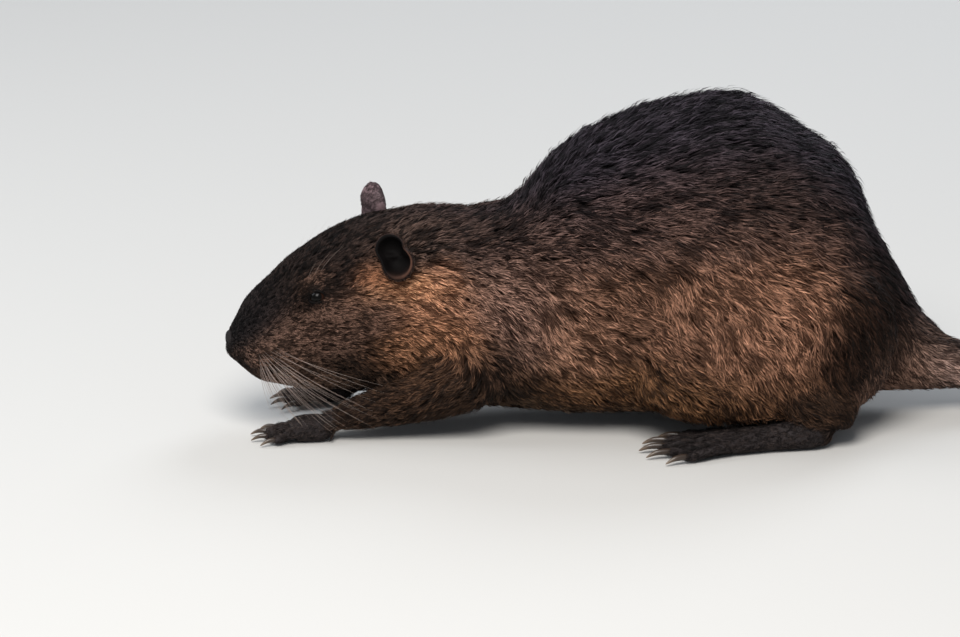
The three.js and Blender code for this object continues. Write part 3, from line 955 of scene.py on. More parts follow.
horn = new_material("claw horn", Roughness=0.34, Specular_IOR_Level=0.5)
ridges = texture(
    horn, "TexNoise", "Fac", (0.12, 1.0, 1.0), _Scale=700.0, _Detail=5.0, _Roughness=0.65
)
tone = ramp(
    horn,
    stored(horn, "ahead"),
    (0.0, linear(42, 33, 28)),
    (0.45, linear(72, 58, 48)),
    (1.0, linear(138, 118, 98)),
)
coloured(horn, times(horn, tone, ridges, 0.55))
bumpy(horn, ridges, 0.3, 0.0004)
for foot in FEET:
    toes = foot[1]["toes"]
    claws = piece_of(foot[0] + "_claws", [claw_surface(foot, toe) for toe in toes])
    dress(claws, horn)
    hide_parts(*(f"{foot[0]}_claw_{i + 1}" for i in range(len(toes))))

# ---- Coat ----
# Banded guard hairs over dark underfur, in tufts of a few hairs that draw together at their tips:
# short on the face and feet, long on the back and haunches, thin bristles on the scaly tail. Each
# hair is a ribbon rooted in the hide and laid along the body.
TUFTS = 36500
HAIRS = 13  # in a tuft
rng = np.random.default_rng(11)
LATTICE = rng.random((32, 32, 32))


def cloud(points, size):
    """Soft noise from 0 to 1: the lattice's values at the eight corners round a point, blended by
    3 w^2 - 2 w^3, on cells of that size."""
    at = points / size
    cell = np.floor(at).astype(int)
    w = at - cell
    w = w * w * (3 - 2 * w)
    total = 0
    for corner in np.ndindex(2, 2, 2):
        i, j, k = ((cell + corner) % 32).T
        total = total + LATTICE[i, j, k] * np.prod(np.where(np.array(corner) == 1, w, 1 - w), axis=1)
    return total


def limb_place(points, stations, steps=40):
    """The place along a limb nearest to each point, how far the point is from its line as a share
    of the girth there, the turn round the line and the heading of the line."""
    fine = np.linspace(0, len(stations) - 1, steps)
    centre, girth, right, up, heading = sections(stations, fine)
    nearest = np.full(len(points), 1e9)
    index = np.zeros(len(points), int)
    for i, middle in enumerate(centre):
        apart = distances(points, middle) / girth[i].mean()
        index = np.where(apart < nearest, i, index)
        nearest = np.minimum(apart, nearest)
    away = points - centre[index]
    turn = np.arctan2(dots(away, up[index]), dots(away, right[index]))
    return fine[index], nearest, turn, heading[index]


def put(found, here, values):
    """Replaces what is found by new values at the points that are here."""
    for name, value in values.items():
        rows = here[:, None] if found[name].ndim == 2 else here
        found[name] = np.where(rows, value, found[name])


HOCK_TOP = 62  # the height above which nothing belongs to a hock
FOOT_TOP = 24  # and to a foot
# The numbers of the limbs: left and right foreleg, left and right hock, then the feet as in FEET.
FORE_LIMBS = (1, 2, 5, 6)
LIMBS = 8


def regions(points):
    """What the coat depends on at each point: the body's station and turn, and how much the point
    belongs to a foreleg, a hock or a foot, with its place there. A limb has what is within its
    girth, and less out to 1.3 times that. A foot has what is near its line and near the floor."""
    station, rise, side = body_place(points)
    found = {"station": station, "rise": rise, "side": side}
    for name in ("foreleg", "hock", "foot", "place", "turn", "limb"):
        found[name] = np.zeros(len(points))
    found["heading"] = np.tile([1.0, 0.0, 0.0], (len(points), 1))
    limbs = [("foreleg", foreleg_of(s), s) for s in SIDES]
    limbs += [("hock", on_side(HOCK, s), s) for s in SIDES]
    for number, (kind, stations, s) in enumerate(limbs):
        place, apart, turn, heading = limb_place(points, stations)
        own = np.clip((1.3 - apart) / 0.3, 0, 1) * (points[:, 1] * s > 0)
        if kind == "foreleg":
            own = own * np.clip((place - 1.2) / 0.8, 0, 1)
        else:
            own = own * np.clip((HOCK_TOP - points[:, 2]) / 14, 0, 1) * np.clip(place / 0.6, 0, 1)
        better = own > np.maximum(found["foreleg"], found["hock"])
        here = {kind: own, "place": place, "turn": turn, "limb": number + 1, "heading": heading}
        put(found, better, here)
    for number, foot in enumerate(FEET):
        length = foot[1]["length"]
        start = foot_point(foot, -0.1 * length, 0, 4)
        line = foot_point(foot, length, 0, 4) - start
        ahead = ((points - start) @ line) / (line @ line)
        off = points - start - np.clip(ahead, 0, 1)[:, None] * line
        wide = np.linalg.norm(off * (1, 1, 1.4), axis=1)
        own = np.clip((0.34 * length + 12 - wide) / 4, 0, 1) * np.clip((FOOT_TOP - points[:, 2]) / 4, 0, 1)
        own = own * np.clip((ahead - 0.02) / 0.12, 0, 1) * np.clip((1.4 - ahead) / 0.1, 0, 1)
        better = own > found["foot"]
        turn = np.arctan2(off[:, 2], off[:, 1])
        put(found, better, {"foot": own})
        put(found, better & (own > 0.5), {"place": 5 * ahead, "turn": turn, "limb": len(limbs) + number + 1})
        put(found, better & (own > 0.3), {"heading": unit(line)})
    return found


def mixed(first, second, share):
    """The first where share is 0, the second where it is 1, and a blend between."""
    return first * (1 - share) + second * share


EYE_MARK = (2.74, 0.71)  # the eye's place on the coat: station and rise
# Markings: station and rise of the middle, reach along and around, the dark and the light hairs.
MARKINGS = [
    (0.5, 0.95, 1.0, 0.6, (15, 12, 13), (58, 51, 51)),  # top of the muzzle
    (0.1, -0.5, 0.35, 0.5, (12, 9, 8), (50, 42, 40)),  # front of the lips
    (1.2, 0.0, 0.8, 0.4, (50, 37, 30), (160, 125, 108)),  # whisker pads
    (1.6, -1.0, 1.0, 0.35, (56, 42, 34), (154, 123, 105)),  # chin
    (2.4, -1.4, 1.6, 0.35, (44, 32, 25), (126, 100, 84)),  # throat
    (2.5, 0.1, 0.8, 0.45, (46, 32, 25), (140, 108, 93)),  # face
    (2.85, 0.93, 0.32, 0.14, (44, 31, 24), (156, 120, 102)),  # brow
    (*EYE_MARK, 0.3, 0.12, (8, 5, 4), (26, 17, 13)),  # round the eye, darkened as painted shade in the eye's socket
    (3.2, 1.2, 1.5, 0.42, (11, 8, 7), (54, 43, 39)),  # crown
    (4.55, 1.0, 0.5, 0.26, (30, 22, 18), (138, 112, 100)),  # between the ears
    (4.0, 0.66, 0.27, 0.18, (86, 55, 38), (212, 146, 106)),  # before the ear
    (4.55, 0.4, 0.6, 0.15, (118, 76, 52), (255, 190, 143)),  # below the ear
    (5.08, 0.54, 0.2, 0.15, (104, 69, 52), (250, 185, 147)),  # behind the ear
    (3.7, 0.14, 0.5, 0.34, (45, 31, 24), (136, 102, 86)),  # middle of the cheek
    (4.95, 0.06, 0.55, 0.26, (90, 59, 43), (218, 158, 122)),  # back of the cheek
    (5.3, -0.36, 0.5, 0.22, (88, 58, 40), (220, 158, 119)),  # side of the neck
    (4.7, -0.58, 0.7, 0.22, (68, 45, 29), (184, 131, 98)),  # jaw
    (3.1, -0.8, 0.7, 0.24, (17, 11, 8), (58, 41, 31)),  # under the cheek, darkened as painted shade
    (4.6, -0.72, 0.6, 0.16, (70, 47, 31), (192, 138, 104)),  # back of the jaw
    (5.4, 1.05, 1.2, 0.36, (23, 16, 14), (94, 73, 65)),  # nape
    (6.6, 0.15, 1.0, 0.5, (54, 36, 30), (170, 133, 117)),  # shoulder
    (5.9, -0.85, 1.0, 0.25, (8, 5, 3), (44, 29, 19)),  # foot of the neck, darkened as painted shade
    (6.15, -0.5, 0.4, 0.26, (16, 10, 7), (78, 56, 44)),  # shadowed front of the shoulder
    (10.0, 1.4, 3.2, 0.42, (16, 14, 17), (66, 59, 67)),  # back: near-black coat whose light hairs are greyish blue as painted sheen
    (11.0, 0.96, 0.9, 0.2, (12, 8, 8), (52, 40, 37)),  # dark band over the haunch
    (9.6, 0.78, 2.8, 0.24, (27, 19, 18), (112, 87, 79)),  # upper flank
    (8.9, 0.12, 2.0, 0.4, (58, 38, 27), (156, 114, 92)),  # flank
    (7.9, -0.2, 0.6, 0.4, (76, 51, 37), (208, 156, 127)),  # its pale front
    (11.0, 0.14, 1.1, 0.44, (69, 44, 31), (200, 147, 118)),  # haunch
    (9.9, -0.75, 2.4, 0.3, (42, 27, 16), (132, 93, 62)),  # low flank
    (8.3, -0.85, 0.8, 0.22, (60, 39, 25), (170, 121, 84)),  # its tan part
    (12.0, -0.62, 1.2, 0.3, (42, 27, 18), (124, 88, 66)),  # foot of the haunch
    (9.0, -1.4, 4.0, 0.4, (44, 33, 25), (116, 94, 76)),  # belly
    (13.35, 0.5, 0.78, 1.1, (6, 3, 1), (34, 17, 8)),  # rump
    (14.6, -0.4, 0.7, 0.7, (54, 38, 31), (160, 124, 106)),  # under the tail's root
    (15.5, 0.9, 0.7, 0.4, (34, 25, 22), (98, 77, 67)),  # top of the tail's root
    (15.9, 0.1, 0.6, 0.5, (100, 77, 68), (232, 194, 178)),  # side of the tail's root, light as a painted highlight
    (19.5, 0.0, 3.0, 3.0, (44, 35, 32), (120, 102, 94)),  # tail
]
# The legs' own darker hairs, darkened further as painted shade under the body.
LEG_COLOURS_AND_SHADE = (linear(22, 15, 11), linear(76, 56, 43))
FOOT_COLOURS = (linear(24, 20, 20), linear(74, 64, 61))
# The hairs' colours and the bare skin's on the back of each ear. The right one is thin and paler.
EAR_COLOURS = {
    LEFT: (linear(36, 27, 24), linear(98, 75, 64), linear(50, 37, 33)),
    RIGHT: (linear(80, 66, 68), linear(146, 126, 129), linear(106, 88, 91)),
}


def colours(where):
    """The dark and the light hairs' colours: each marking counts by exp(-((station - middle) /
    reach)^2 - ((rise - middle) / spread)^2). Painted shade darkens them along the mouth's line and
    round the eye, and legs and feet have their own."""
    station, rise = where["station"], where["rise"]
    total = 1e-9
    both = [0, 0]
    for along_body, up_side, reach, spread, *pair in MARKINGS:
        count = bump(station - along_body, reach) * bump(rise - up_side, spread) + 1e-7
        total = total + count
        both = [sum_so_far + count[:, None] * linear(*colour) for sum_so_far, colour in zip(both, pair)]
    eye = bump(station - EYE_MARK[0], 0.27) * bump(rise - EYE_MARK[1], 0.11)
    # Painted shade: the mouth's crease and the eye's socket are darkened.
    shadow = (1 - 0.85 * on_mouth(station, rise, 0.06)) * (1 - 0.7 * eye)
    leg = np.maximum(where["foreleg"], where["hock"])[:, None] * 0.8
    foot = where["foot"][:, None]
    both = [colour / total[:, None] * shadow[:, None] for colour in both]
    both = [mixed(colour, own, leg) for colour, own in zip(both, LEG_COLOURS_AND_SHADE)]
    return [mixed(colour, own, foot) for colour, own in zip(both, FOOT_COLOURS)]


# By station: a hair's length and width, and the space between tufts.
HAIR_SIZES = np.array([
    [0, 2.2, 0.30, 1.5],
    [1, 3.4, 0.32, 1.6],
    [2, 4.6, 0.34, 1.8],
    [3, 6.0, 0.38, 2.0],
    [4, 8.5, 0.42, 2.4],
    [5, 11.5, 0.48, 2.7],
    [6, 13.5, 0.54, 3.0],
    [8, 16, 0.60, 3.2],
    [10, 18, 0.62, 3.4],
    [12, 20, 0.64, 3.4],
    [13.5, 21, 0.64, 3.4],
    [14.5, 19, 0.62, 3.2],
    [15.5, 13, 0.56, 3.0],
    [16.5, 7, 0.42, 3.2],
    [18, 4.5, 0.32, 3.6],
    [23, 3.5, 0.26, 3.2],
])
LEG_HAIR = np.array([16, 16, 13, 8, 5, 3])  # lengths at the foreleg's stations
HOCK_HAIR = np.array([17, 17, 14, 9])
FOOT_HAIR = (2.4, 0.26, 2.3)  # length, width and space
EAR_HAIR = (2.6, 0.24, 1.6)
LID_SPACE = 1.3  # between tufts on the lids


def hair_sizes(where):
    """A hair's length and width and the space between tufts, by station and limb. Hair is shorter
    underneath and by the mouth."""
    stations = HAIR_SIZES[:, 0]
    length, width, space = (np.interp(where["station"], stations, HAIR_SIZES[:, k]) for k in (1, 2, 3))
    length = length * (1 - 0.3 * np.clip(-np.sin(where["rise"]), 0, 1))
    length = length * (1 - 0.45 * on_mouth(where["station"], where["rise"], 0.1))
    for kind, lengths in (("foreleg", LEG_HAIR), ("hock", HOCK_HAIR)):
        here = np.interp(where["place"], np.arange(len(lengths)), lengths)
        length = mixed(length, here, where[kind])
        width = mixed(width, 0.26 + 0.016 * here, where[kind])
        space = mixed(space, 2.0 + 0.06 * here, where[kind])
    return (mixed(a, b, where["foot"]) for a, b in zip((length, width, space), FOOT_HAIR))


# How far the lie of the coat turns down from the spine's heading on the sides, in degrees.
LIE_STATIONS = [0, 2, 4, 6, 8, 10, 12, 13.3, 14.6, 16]
LIE_DOWN = [8, 10, 14, 16, 32, 46, 58, 66, 48, 5]


def flat_to(vectors, normals):
    """Vectors with what stands out along the normals taken off, at unit length."""
    return unit(vectors - normals * dots(vectors, normals)[:, None])


def lie_of_coat(points, normals, where):
    """The way the hair lies: the spine's heading turned down on the sides, along a limb on it, and
    pushed aside by ears and eyes, with a slow swirl."""
    _, _, _, _, heading = sections(SPINE, where["station"], SPINE_LEAN)
    down = np.radians(np.interp(where["station"], LIE_STATIONS, LIE_DOWN))
    down = down * np.clip(1.15 - where["rise"], 0, 1) * np.clip((where["rise"] + 1.5) / 0.5, 0, 1)
    down = down + 0.7 * (cloud(points, 30) - 0.5)
    lie = heading * np.cos(down)[:, None] - UP * np.sin(down)[:, None]
    for side in SIDES:
        for spot, reach, push in ((EARS[side], 19, 0.9), (eye_places[side][0], 9, 0.5)):
            pushed = push * bump(distances(points, spot), reach)
            lie = lie + unit(points - spot) * pushed[:, None]
    leg = np.maximum(where["foreleg"] * np.clip(where["place"] - 1, 0, 1), where["hock"] * 0.7)
    leg = np.maximum(leg, where["foot"])[:, None]
    lie = mixed(lie, where["heading"], leg)
    aside = np.cross(normals, lie)
    sleek = 1 - 0.6 * np.clip((where["rise"] - 0.7) / 0.4, 0, 1)
    stray = 0.8 * (cloud(points + 70, 12) - 0.5) + 0.16 * rng.normal(size=len(points))
    lie = lie + aside * (stray * sleek)[:, None]
    return flat_to(lie, normals)


# The whole skin: the hide, the ears and the lids in one mesh.
SKIN_ONLY, EAR_BACK, EAR_HOLLOW, LID_SKIN = 0, 1, 2, 3
hide_points = points_of(skin.data)
skin.data.calc_loop_triangles()
hide_faces = read(skin.data.loop_triangles, "vertices", 3, np.int32)
ear_shapes = [ear_surface(side) for side in SIDES]
lid_shapes = [lid_surface(side) for side in SIDES]
extra_points, extra_faces = joined([*ear_shapes, *lid_shapes])
extra_faces = np.vstack([extra_faces[:, [0, 1, 2]], extra_faces[:, [0, 2, 3]]]) + len(hide_points)
all_points = np.vstack([hide_points, extra_points])
all_faces = np.vstack([hide_faces, extra_faces])
ear_rows, ear_columns = ear_shapes[0].shape[:2]
ear_kind = np.repeat(np.where(np.arange(ear_rows) < 0.5 * ear_rows, EAR_BACK, EAR_HOLLOW), ear_columns)
lid_kind = np.full(lid_shapes[0].shape[0] * lid_shapes[0].shape[1], LID_SKIN)
skin_kind = np.concatenate([np.full(len(hide_points), SKIN_ONLY), ear_kind, ear_kind, lid_kind, lid_kind])
# How many rows past the rim, towards the hollow, each vertex of an ear lies.
ear_row = np.repeat(np.arange(ear_rows) - EAR_RIM_AT * ear_rows, ear_columns)
from_rim = np.concatenate([np.zeros(len(hide_points)), ear_row, ear_row, 0 * lid_kind, 0 * lid_kind])
whole_skin = new_mesh("skin", all_points, all_faces)
skin_normals = read(whole_skin.vertices, "normal", 3).astype(float)


STEP_HEIGHT = 5  # how far over the hide a step is taken before it is put back onto it


def on_skin(points):
    """The nearest point of the hide to each point."""
    probe = new_object("probe", bpy.data.meshes.new("probe"))
    probe.data.vertices.add(len(points))
    put_points(probe.data, points)
    wrap = probe.modifiers.new("onto the hide", "SHRINKWRAP")
    wrap.target = skin
    wrap.wrap_method = "NEAREST_SURFACEPOINT"
    found = points_of(finished(probe))
    bpy.data.objects.remove(probe)
    return found


def step_along(points, normals, lies, reach):
    """A step along the hide: the point reached, the normal there, and the lie carried over."""
    raised = points + lies * reach[:, None] + normals * STEP_HEIGHT
    reached = on_skin(raised)
    normal = unit(raised - reached)
    return reached, normal, flat_to(lies, normal)


EAR_RIM = 5  # rows at the ear's rim that are bare
BARE_NOSE = 5.6  # how far round the nose pad the hide is bare
LOWEST_ROOT = 2.5  # no hair grows lower than this


def bald(middle, face_kind, face_rim):
    """Which faces grow no hair: those near the floor and on the nose's seat, the hollows, rims and
    roots of the ears and the hide within them, and the lids' bare part and the hide behind them."""
    found = (face_kind == EAR_HOLLOW) | (middle[:, 2] < LOWEST_ROOT)
    found |= (face_kind == EAR_BACK) & (face_rim > -EAR_RIM)
    found |= np.linalg.norm((middle - NOSE["at"]) / (1, 1.25, 1), axis=1) < BARE_NOSE
    for side in SIDES:
        centre, look, back, tall = eye_axes(side)
        off = middle - centre
        off_back, off_up = off @ back - BARE_MIDDLE[0], off @ tall - BARE_MIDDLE[1]
        bare = np.hypot(off_back / BARE_LID[0], off_up / BARE_LID[1]) < 1
        found |= bare & (off @ look > 0) & (face_kind == LID_SKIN)
        found |= (np.linalg.norm(off, axis=1) < LID["outside"] - 0.3) & (face_kind == SKIN_ONLY)
        opening, back, tall = ear_axes(side)
        off = middle - EARS[side]
        ahead = off @ opening
        for along_back, along_up, radius in LOBES:
            from_lobe = np.hypot(off @ back - along_back, off @ tall - along_up)
            found |= (from_lobe < radius - 0.5) & (np.abs(ahead + 1) < 12) & (face_kind == SKIN_ONLY)
        found |= (face_kind == EAR_BACK) & (np.linalg.norm(off, axis=1) < 40) & (ahead < -14)
    return found


# By station, the share of its depth that the coat stands off. It is sleek on the rump.
SLEEK_STATIONS = [11, 13, 15, 16]
SLEEK_SHARES = [1, 0.55, 0.6, 1]
LOW_STAND = 0.7  # how far the short hair of feet and ears stands off
MOST_STAND = 0.45  # of a hair's length


def coat_stand(where, length, on_ear):
    """How far each tuft stands off: the coat's depth, or its limb's where it is on one."""
    stand = coat_depth(where["station"], where["rise"])
    stand = stand * np.interp(where["station"], SLEEK_STATIONS, SLEEK_SHARES)
    by_limb = [np.interp(where["place"], range(len(d)), d) for d in (FORELEG_DEPTH, HOCK_DEPTH)]
    limb_depth = np.where(where["foreleg"] > where["hock"], by_limb[0], 0)
    limb_depth = np.where(where["hock"] > 0, by_limb[1], limb_depth)
    stand = mixed(stand, limb_depth, np.maximum(where["foreleg"], where["hock"]))
    stand = mixed(stand, LOW_STAND, where["foot"])
    return np.where(on_ear, LOW_STAND, np.minimum(stand, length * MOST_STAND))


# Roots: places on the hide picked by area, and thicker where tufts stand closer.
corner = all_points[all_faces]
middle = corner.mean(axis=1)
area = np.linalg.norm(np.cross(corner[:, 1] - corner[:, 0], corner[:, 2] - corner[:, 0]), axis=1) / 2
_, _, space = hair_sizes(regions(middle))
face_kind = skin_kind[all_faces].max(axis=1)
space = np.where(face_kind == EAR_BACK, EAR_HAIR[2], space)
space = np.where(face_kind == LID_SKIN, LID_SPACE, space)
hairless = bald(middle, face_kind, from_rim[all_faces].mean(axis=1))
wanted = np.where(hairless, 0, area / space**2)
picks = (np.arange(TUFTS) + rng.random(TUFTS)) / TUFTS * wanted.sum()
chosen = np.searchsorted(np.cumsum(wanted), picks).clip(0, len(wanted) - 1)
corner_share = rng.dirichlet((1, 1, 1), TUFTS)
root = np.einsum("ij,ijk->ik", corner_share, corner[chosen])
normal = unit(np.einsum("ij,ijk->ik", corner_share, skin_normals[all_faces[chosen]]))

# Tufts: the size of each one's hairs and its path over the hide, in two steps of half its length.
# On ears and lids the path is straight. Hair is shorter near ears and eyes.
SHORT_SHARE = 0.3  # what is left of its length near by
SHORT_BY_EAR = (12, 27)  # how near that is, and from where hair has its full length
SHORT_BY_EYE = (7, 18)
FREE_END = 0.15  # how far the end of a tuft leaves the hide's curve
where = regions(root)
on_ear = face_kind[chosen] == EAR_BACK
on_lid = face_kind[chosen] == LID_SKIN
length, width, space = (np.where(on_ear, ear, a) for ear, a in zip(EAR_HAIR, hair_sizes(where)))
for side in SIDES:
    for spot, (near, far) in ((EARS[side], SHORT_BY_EAR), (eye_places[side][0], SHORT_BY_EYE)):
        kept = SHORT_SHARE + (1 - SHORT_SHARE) * (distances(root, spot) - near) / (far - near)
        length = np.where(on_ear, length, length * np.clip(kept, SHORT_SHARE, 1))
stand = coat_stand(where, length, on_ear)
lie = lie_of_coat(root, normal, where)
for side in SIDES:
    ours = on_ear & (root[:, 1] * side > 0)
    away = flat_to(root - EARS[side] + UP * 4, normal)
    lie = np.where(ours[:, None], away, lie)
first, normal_1, lie_1 = step_along(root, normal, lie, length / 2)
second, normal_2, lie_2 = step_along(first, normal_1, lie_1, length / 2)
second = mixed(second, first + lie_1 * (length / 2)[:, None], FREE_END)
straight = (on_ear | on_lid)[:, None]
first = np.where(straight, root + lie * (length / 2)[:, None], first)
second = np.where(straight, root + lie * length[:, None], second)
normal_1, normal_2 = (np.where(straight, normal, n) for n in (normal_1, normal_2))
lie_1, lie_2 = (np.where(straight, lie, n) for n in (lie_1, lie_2))
skin.data = whole_skin

# Hairs: five points each, in arrays of tufts by hairs by three numbers.
GATHER = 0.62  # how far the tips of a tuft draw together
ROOT_HEIGHT = -0.4  # a hair's root lies under the hide
LOWEST_HAIR = 0.6  # over the floor
OUTSTANDING = 0.07  # the share of hairs that stand off further than the rest
size = (TUFTS, HAIRS, 1)
spin = rng.random(size) * 2 * math.pi
reach = np.sqrt(rng.random(size)) * (0.8 * space)[:, None, None]
back_off = np.cos(spin) * reach
side_off = np.sin(spin) * reach
reach_share = 0.78 + 0.36 * rng.random(size)
lift = 0.45 + 0.6 * rng.random(size)
lift = np.where(rng.random(size) < OUTSTANDING, lift + 0.3, lift)
sleek = 1 - 0.5 * np.clip((where["rise"] - 0.7) / 0.4, 0, 1)
sway = (rng.normal(0, 0.1, size) + rng.normal(0, 0.12, (TUFTS, 1, 1))) * sleek[:, None, None]
bend_at = rng.uniform(0.45, 0.8, size)  # where along a hair its broadest place is
roll = rng.uniform(-0.9, 0.9, size)


def level(at, ahead, aside, height):
    """Points at a share of the hairs' length, beside their tuft's path. The path is the parabola
    through the tuft's three places on the hide, with heights over it along the normal."""
    weights = (1 - at) * (1 - 2 * at), 4 * at * (1 - at), at * (2 * at - 1)
    centre, out, ahead_way = (
        sum(weight * three[:, None] for weight, three in zip(weights, threes))
        for threes in ((root, first, second), (normal, normal_1, normal_2), (lie, lie_1, lie_2))
    )
    out = unit(out)
    ahead_way = unit(ahead_way)
    across = np.cross(out, ahead_way)
    points = centre + ahead_way * ahead + across * aside + out * height
    return points, across * np.cos(roll) + out * np.sin(roll)


full = length[:, None, None]
depth = stand[:, None, None]
extra = (reach_share - 1) * full
half = width[:, None, None] * (0.8 + 0.4 * rng.random(size)) / 2
start, side_0 = level(0.0 * bend_at, back_off, side_off, ROOT_HEIGHT)
broad, side_1 = level(
    bend_at,
    back_off + extra * bend_at,
    side_off * (1 - GATHER * bend_at) + sway * full * bend_at**2,
    depth * lift * (1 - (1 - bend_at) ** 2),
)
tip, _ = level(0.0 * bend_at + 1, back_off + extra, side_off * (1 - GATHER) + sway * full, depth * lift)
hairs = np.stack(
    [
        start - side_0 * half * 0.8,
        start + side_0 * half * 0.8,
        broad - side_1 * half,
        broad + side_1 * half,
        tip,
    ],
    2,
)
hairs[..., 2] = np.maximum(hairs[..., 2], LOWEST_HAIR)

# Colour: a hair is dark at its root. Most have a light band at the middle and a dark tip, some a
# light tip, and the rest are dark all along.
KIND_LIMITS = [0.6, 0.85]  # the share of hairs that are of the first kind, and of the first two
BAND_LIGHT = np.array([1.1, 0.45, 0.0])  # of each kind
TIP_LIGHT = np.array([0.4, 1.1, 0.0])
DARK_TUFTS = 0.42  # their share
TUFT_SHADES = (0.12, 0.82)  # of a dark and of a light tuft
dark, light = colours(where)
for side in SIDES:
    own = (on_ear & (root[:, 1] * side > 0))[:, None]
    dark = np.where(own, EAR_COLOURS[side][0], dark)
    light = np.where(own, EAR_COLOURS[side][1], light)
mottle = 0.8 * cloud(root, 4.5) + 0.7 * cloud(root + 50, 13) - 0.75
is_dark = rng.random(TUFTS) < DARK_TUFTS - 1.3 * mottle
tuft_shade = np.where(is_dark, *TUFT_SHADES) + 0.3 * (rng.random(TUFTS) - 0.5)
shade = np.clip(tuft_shade[:, None, None] + 0.5 * (rng.random(size) - 0.5), 0, 1)
hair_kind = np.searchsorted(KIND_LIMITS, rng.random(size), side="right")
dark = dark[:, None]
light = light[:, None]
rooted = np.broadcast_to(dark * 0.5, (TUFTS, HAIRS, 3))
banded, ended = (dark + (light - dark) * (lights[hair_kind] * shade) for lights in (BAND_LIGHT, TIP_LIGHT))
hair_colours = np.stack([rooted, rooted, banded, banded, ended], 2)

# Map: each tuft is a small patch at its root's place on the unrolled hide of its piece. The body's
# hide is unrolled along the spine, and each limb's along the limb in a strip of its own.
PATCH = 0.003
round_body = np.where(where["side"] > 0, where["rise"], math.pi - where["rise"]) / (2 * math.pi) % 1.0
on_limb = where["limb"] > 0
limb_u = (where["limb"] - 1 + np.clip(where["place"] / 7, 0, 1)) / LIMBS
limb_v = where["turn"] / (2 * math.pi) + 0.5
HAIR_PATCH = 0.12  # half a hair's breadth in the patch
across_patch = np.array([-1, 1, -1, 1, 0]) * HAIR_PATCH
along_patch = np.array([0, 0, 0.5, 0.5, 1])


def coat_piece(name, tufts, u, v):
    """One piece of the coat from some of the tufts, with its map."""
    points = hairs[tufts].reshape(-1, 3)
    first = np.arange(len(points) // 5)[:, None] * 5
    bands = first + [0, 1, 3, 2]
    ends = first + [2, 3, 4]
    piece = new_object(name, new_mesh(name, points, bands, ends))
    paint(piece.data, "colour", hair_colours[tufts].reshape(-1, 3), "FLOAT_COLOR")
    at = np.stack([u, v], -1) * (1 - 2 * PATCH) + PATCH
    spread = np.stack(
        [
            across_patch + 0.5 * (rng.random((len(tufts), HAIRS, 1)) - 0.5),
            np.broadcast_to(along_patch - 0.5, (len(tufts), HAIRS, 5)),
        ],
        -1,
    )
    mapped = (at[:, None, None] + spread * PATCH).reshape(-1, 2)
    layer = piece.data.uv_layers.new(name="OFBake", do_init=False)
    corners = np.concatenate([bands.ravel(), ends.ravel()])
    layer.uv.foreach_set("vector", mapped[corners].astype(np.float32).ravel())
    dress(piece, fur)


def varied(material, noise, least, most):
    """A noise's middle part, 0.3 to 0.7, spread from least to most."""
    spread = node(material, "MapRange", _From_Min=0.3, _From_Max=0.7, _To_Min=least, _To_Max=most)
    wire(material, (noise, spread.inputs["Value"]))
    return spread.outputs["Result"]


fur = new_material(
    "fur", Roughness=0.62, Specular_IOR_Level=0.1, Sheen_Weight=0.03, Sheen_Roughness=0.4
)
strands = varied(fur, texture(fur, "TexNoise", _Scale=420.0, _Detail=3.0), 0.75, 1.25)
coloured(fur, times(fur, stored(fur, "colour", "Color"), strands))
BODY_PIECES = ["face", "head", "nape", "shoulders", "flanks", "back", "haunches", "tail"]
body_tufts = np.flatnonzero(~on_limb)
in_order = body_tufts[np.argsort(where["station"][body_tufts])]
for name, tufts in zip(BODY_PIECES, np.array_split(in_order, len(BODY_PIECES))):
    station = where["station"][tufts]
    coat_piece("coat_" + name, tufts, (station - station.min()) / np.ptp(station), round_body[tufts])
fore = np.isin(where["limb"], FORE_LIMBS)
for name, which in (("coat_forelegs", on_limb & fore), ("coat_hind_legs", on_limb & ~fore)):
    tufts = np.flatnonzero(which)
    coat_piece(name, tufts, limb_u[tufts], limb_v[tufts])

# ---- Hide ----
# The tanned skin, which wears the coat's markings, darker where underfur hides it, and kept dark as
# painted shade between the tufts. It is bare, creased and scaly on the feet and the tail, and smooth and
# nearly black in the ears, partly as painted shade in their hollows, with a painted highlight low on
# the back of each rim.
BARE_FOOT = linear(46, 41, 41)
BARE_TAIL_SKIN = linear(70, 60, 57)
LID_COLOUR = linear(11, 8, 7)
# The ear's dark skin, made nearly black in the hollow as painted shade.
EAR_SKIN_AND_HOLLOW_SHADE = linear(5, 3, 3)
# The lower back of the ear's rim: brown skin, lighter as a painted highlight.
EAR_RIM_BROWN_AND_HIGHLIGHT = linear(74, 50, 40)
UNDERFUR_AND_SHADE = (0.45, 0.04)  # how much of the dark and of the light hairs' colours shows on the hide, kept low as dark underfur and as painted shade between the tufts
SCALES_FROM = 15.6  # the station where the tail turns bare

where = regions(all_points)
dark, light = colours(where)
under = dark * UNDERFUR_AND_SHADE[0] + light * UNDERFUR_AND_SHADE[1]
tail_share = np.clip((where["station"] - SCALES_FROM) / 1.2, 0, 1)
foot_share = np.clip(where["foot"] * 1.2, 0, 1)
under = mixed(mixed(under, BARE_FOOT, foot_share[:, None]), BARE_TAIL_SKIN, tail_share[:, None])
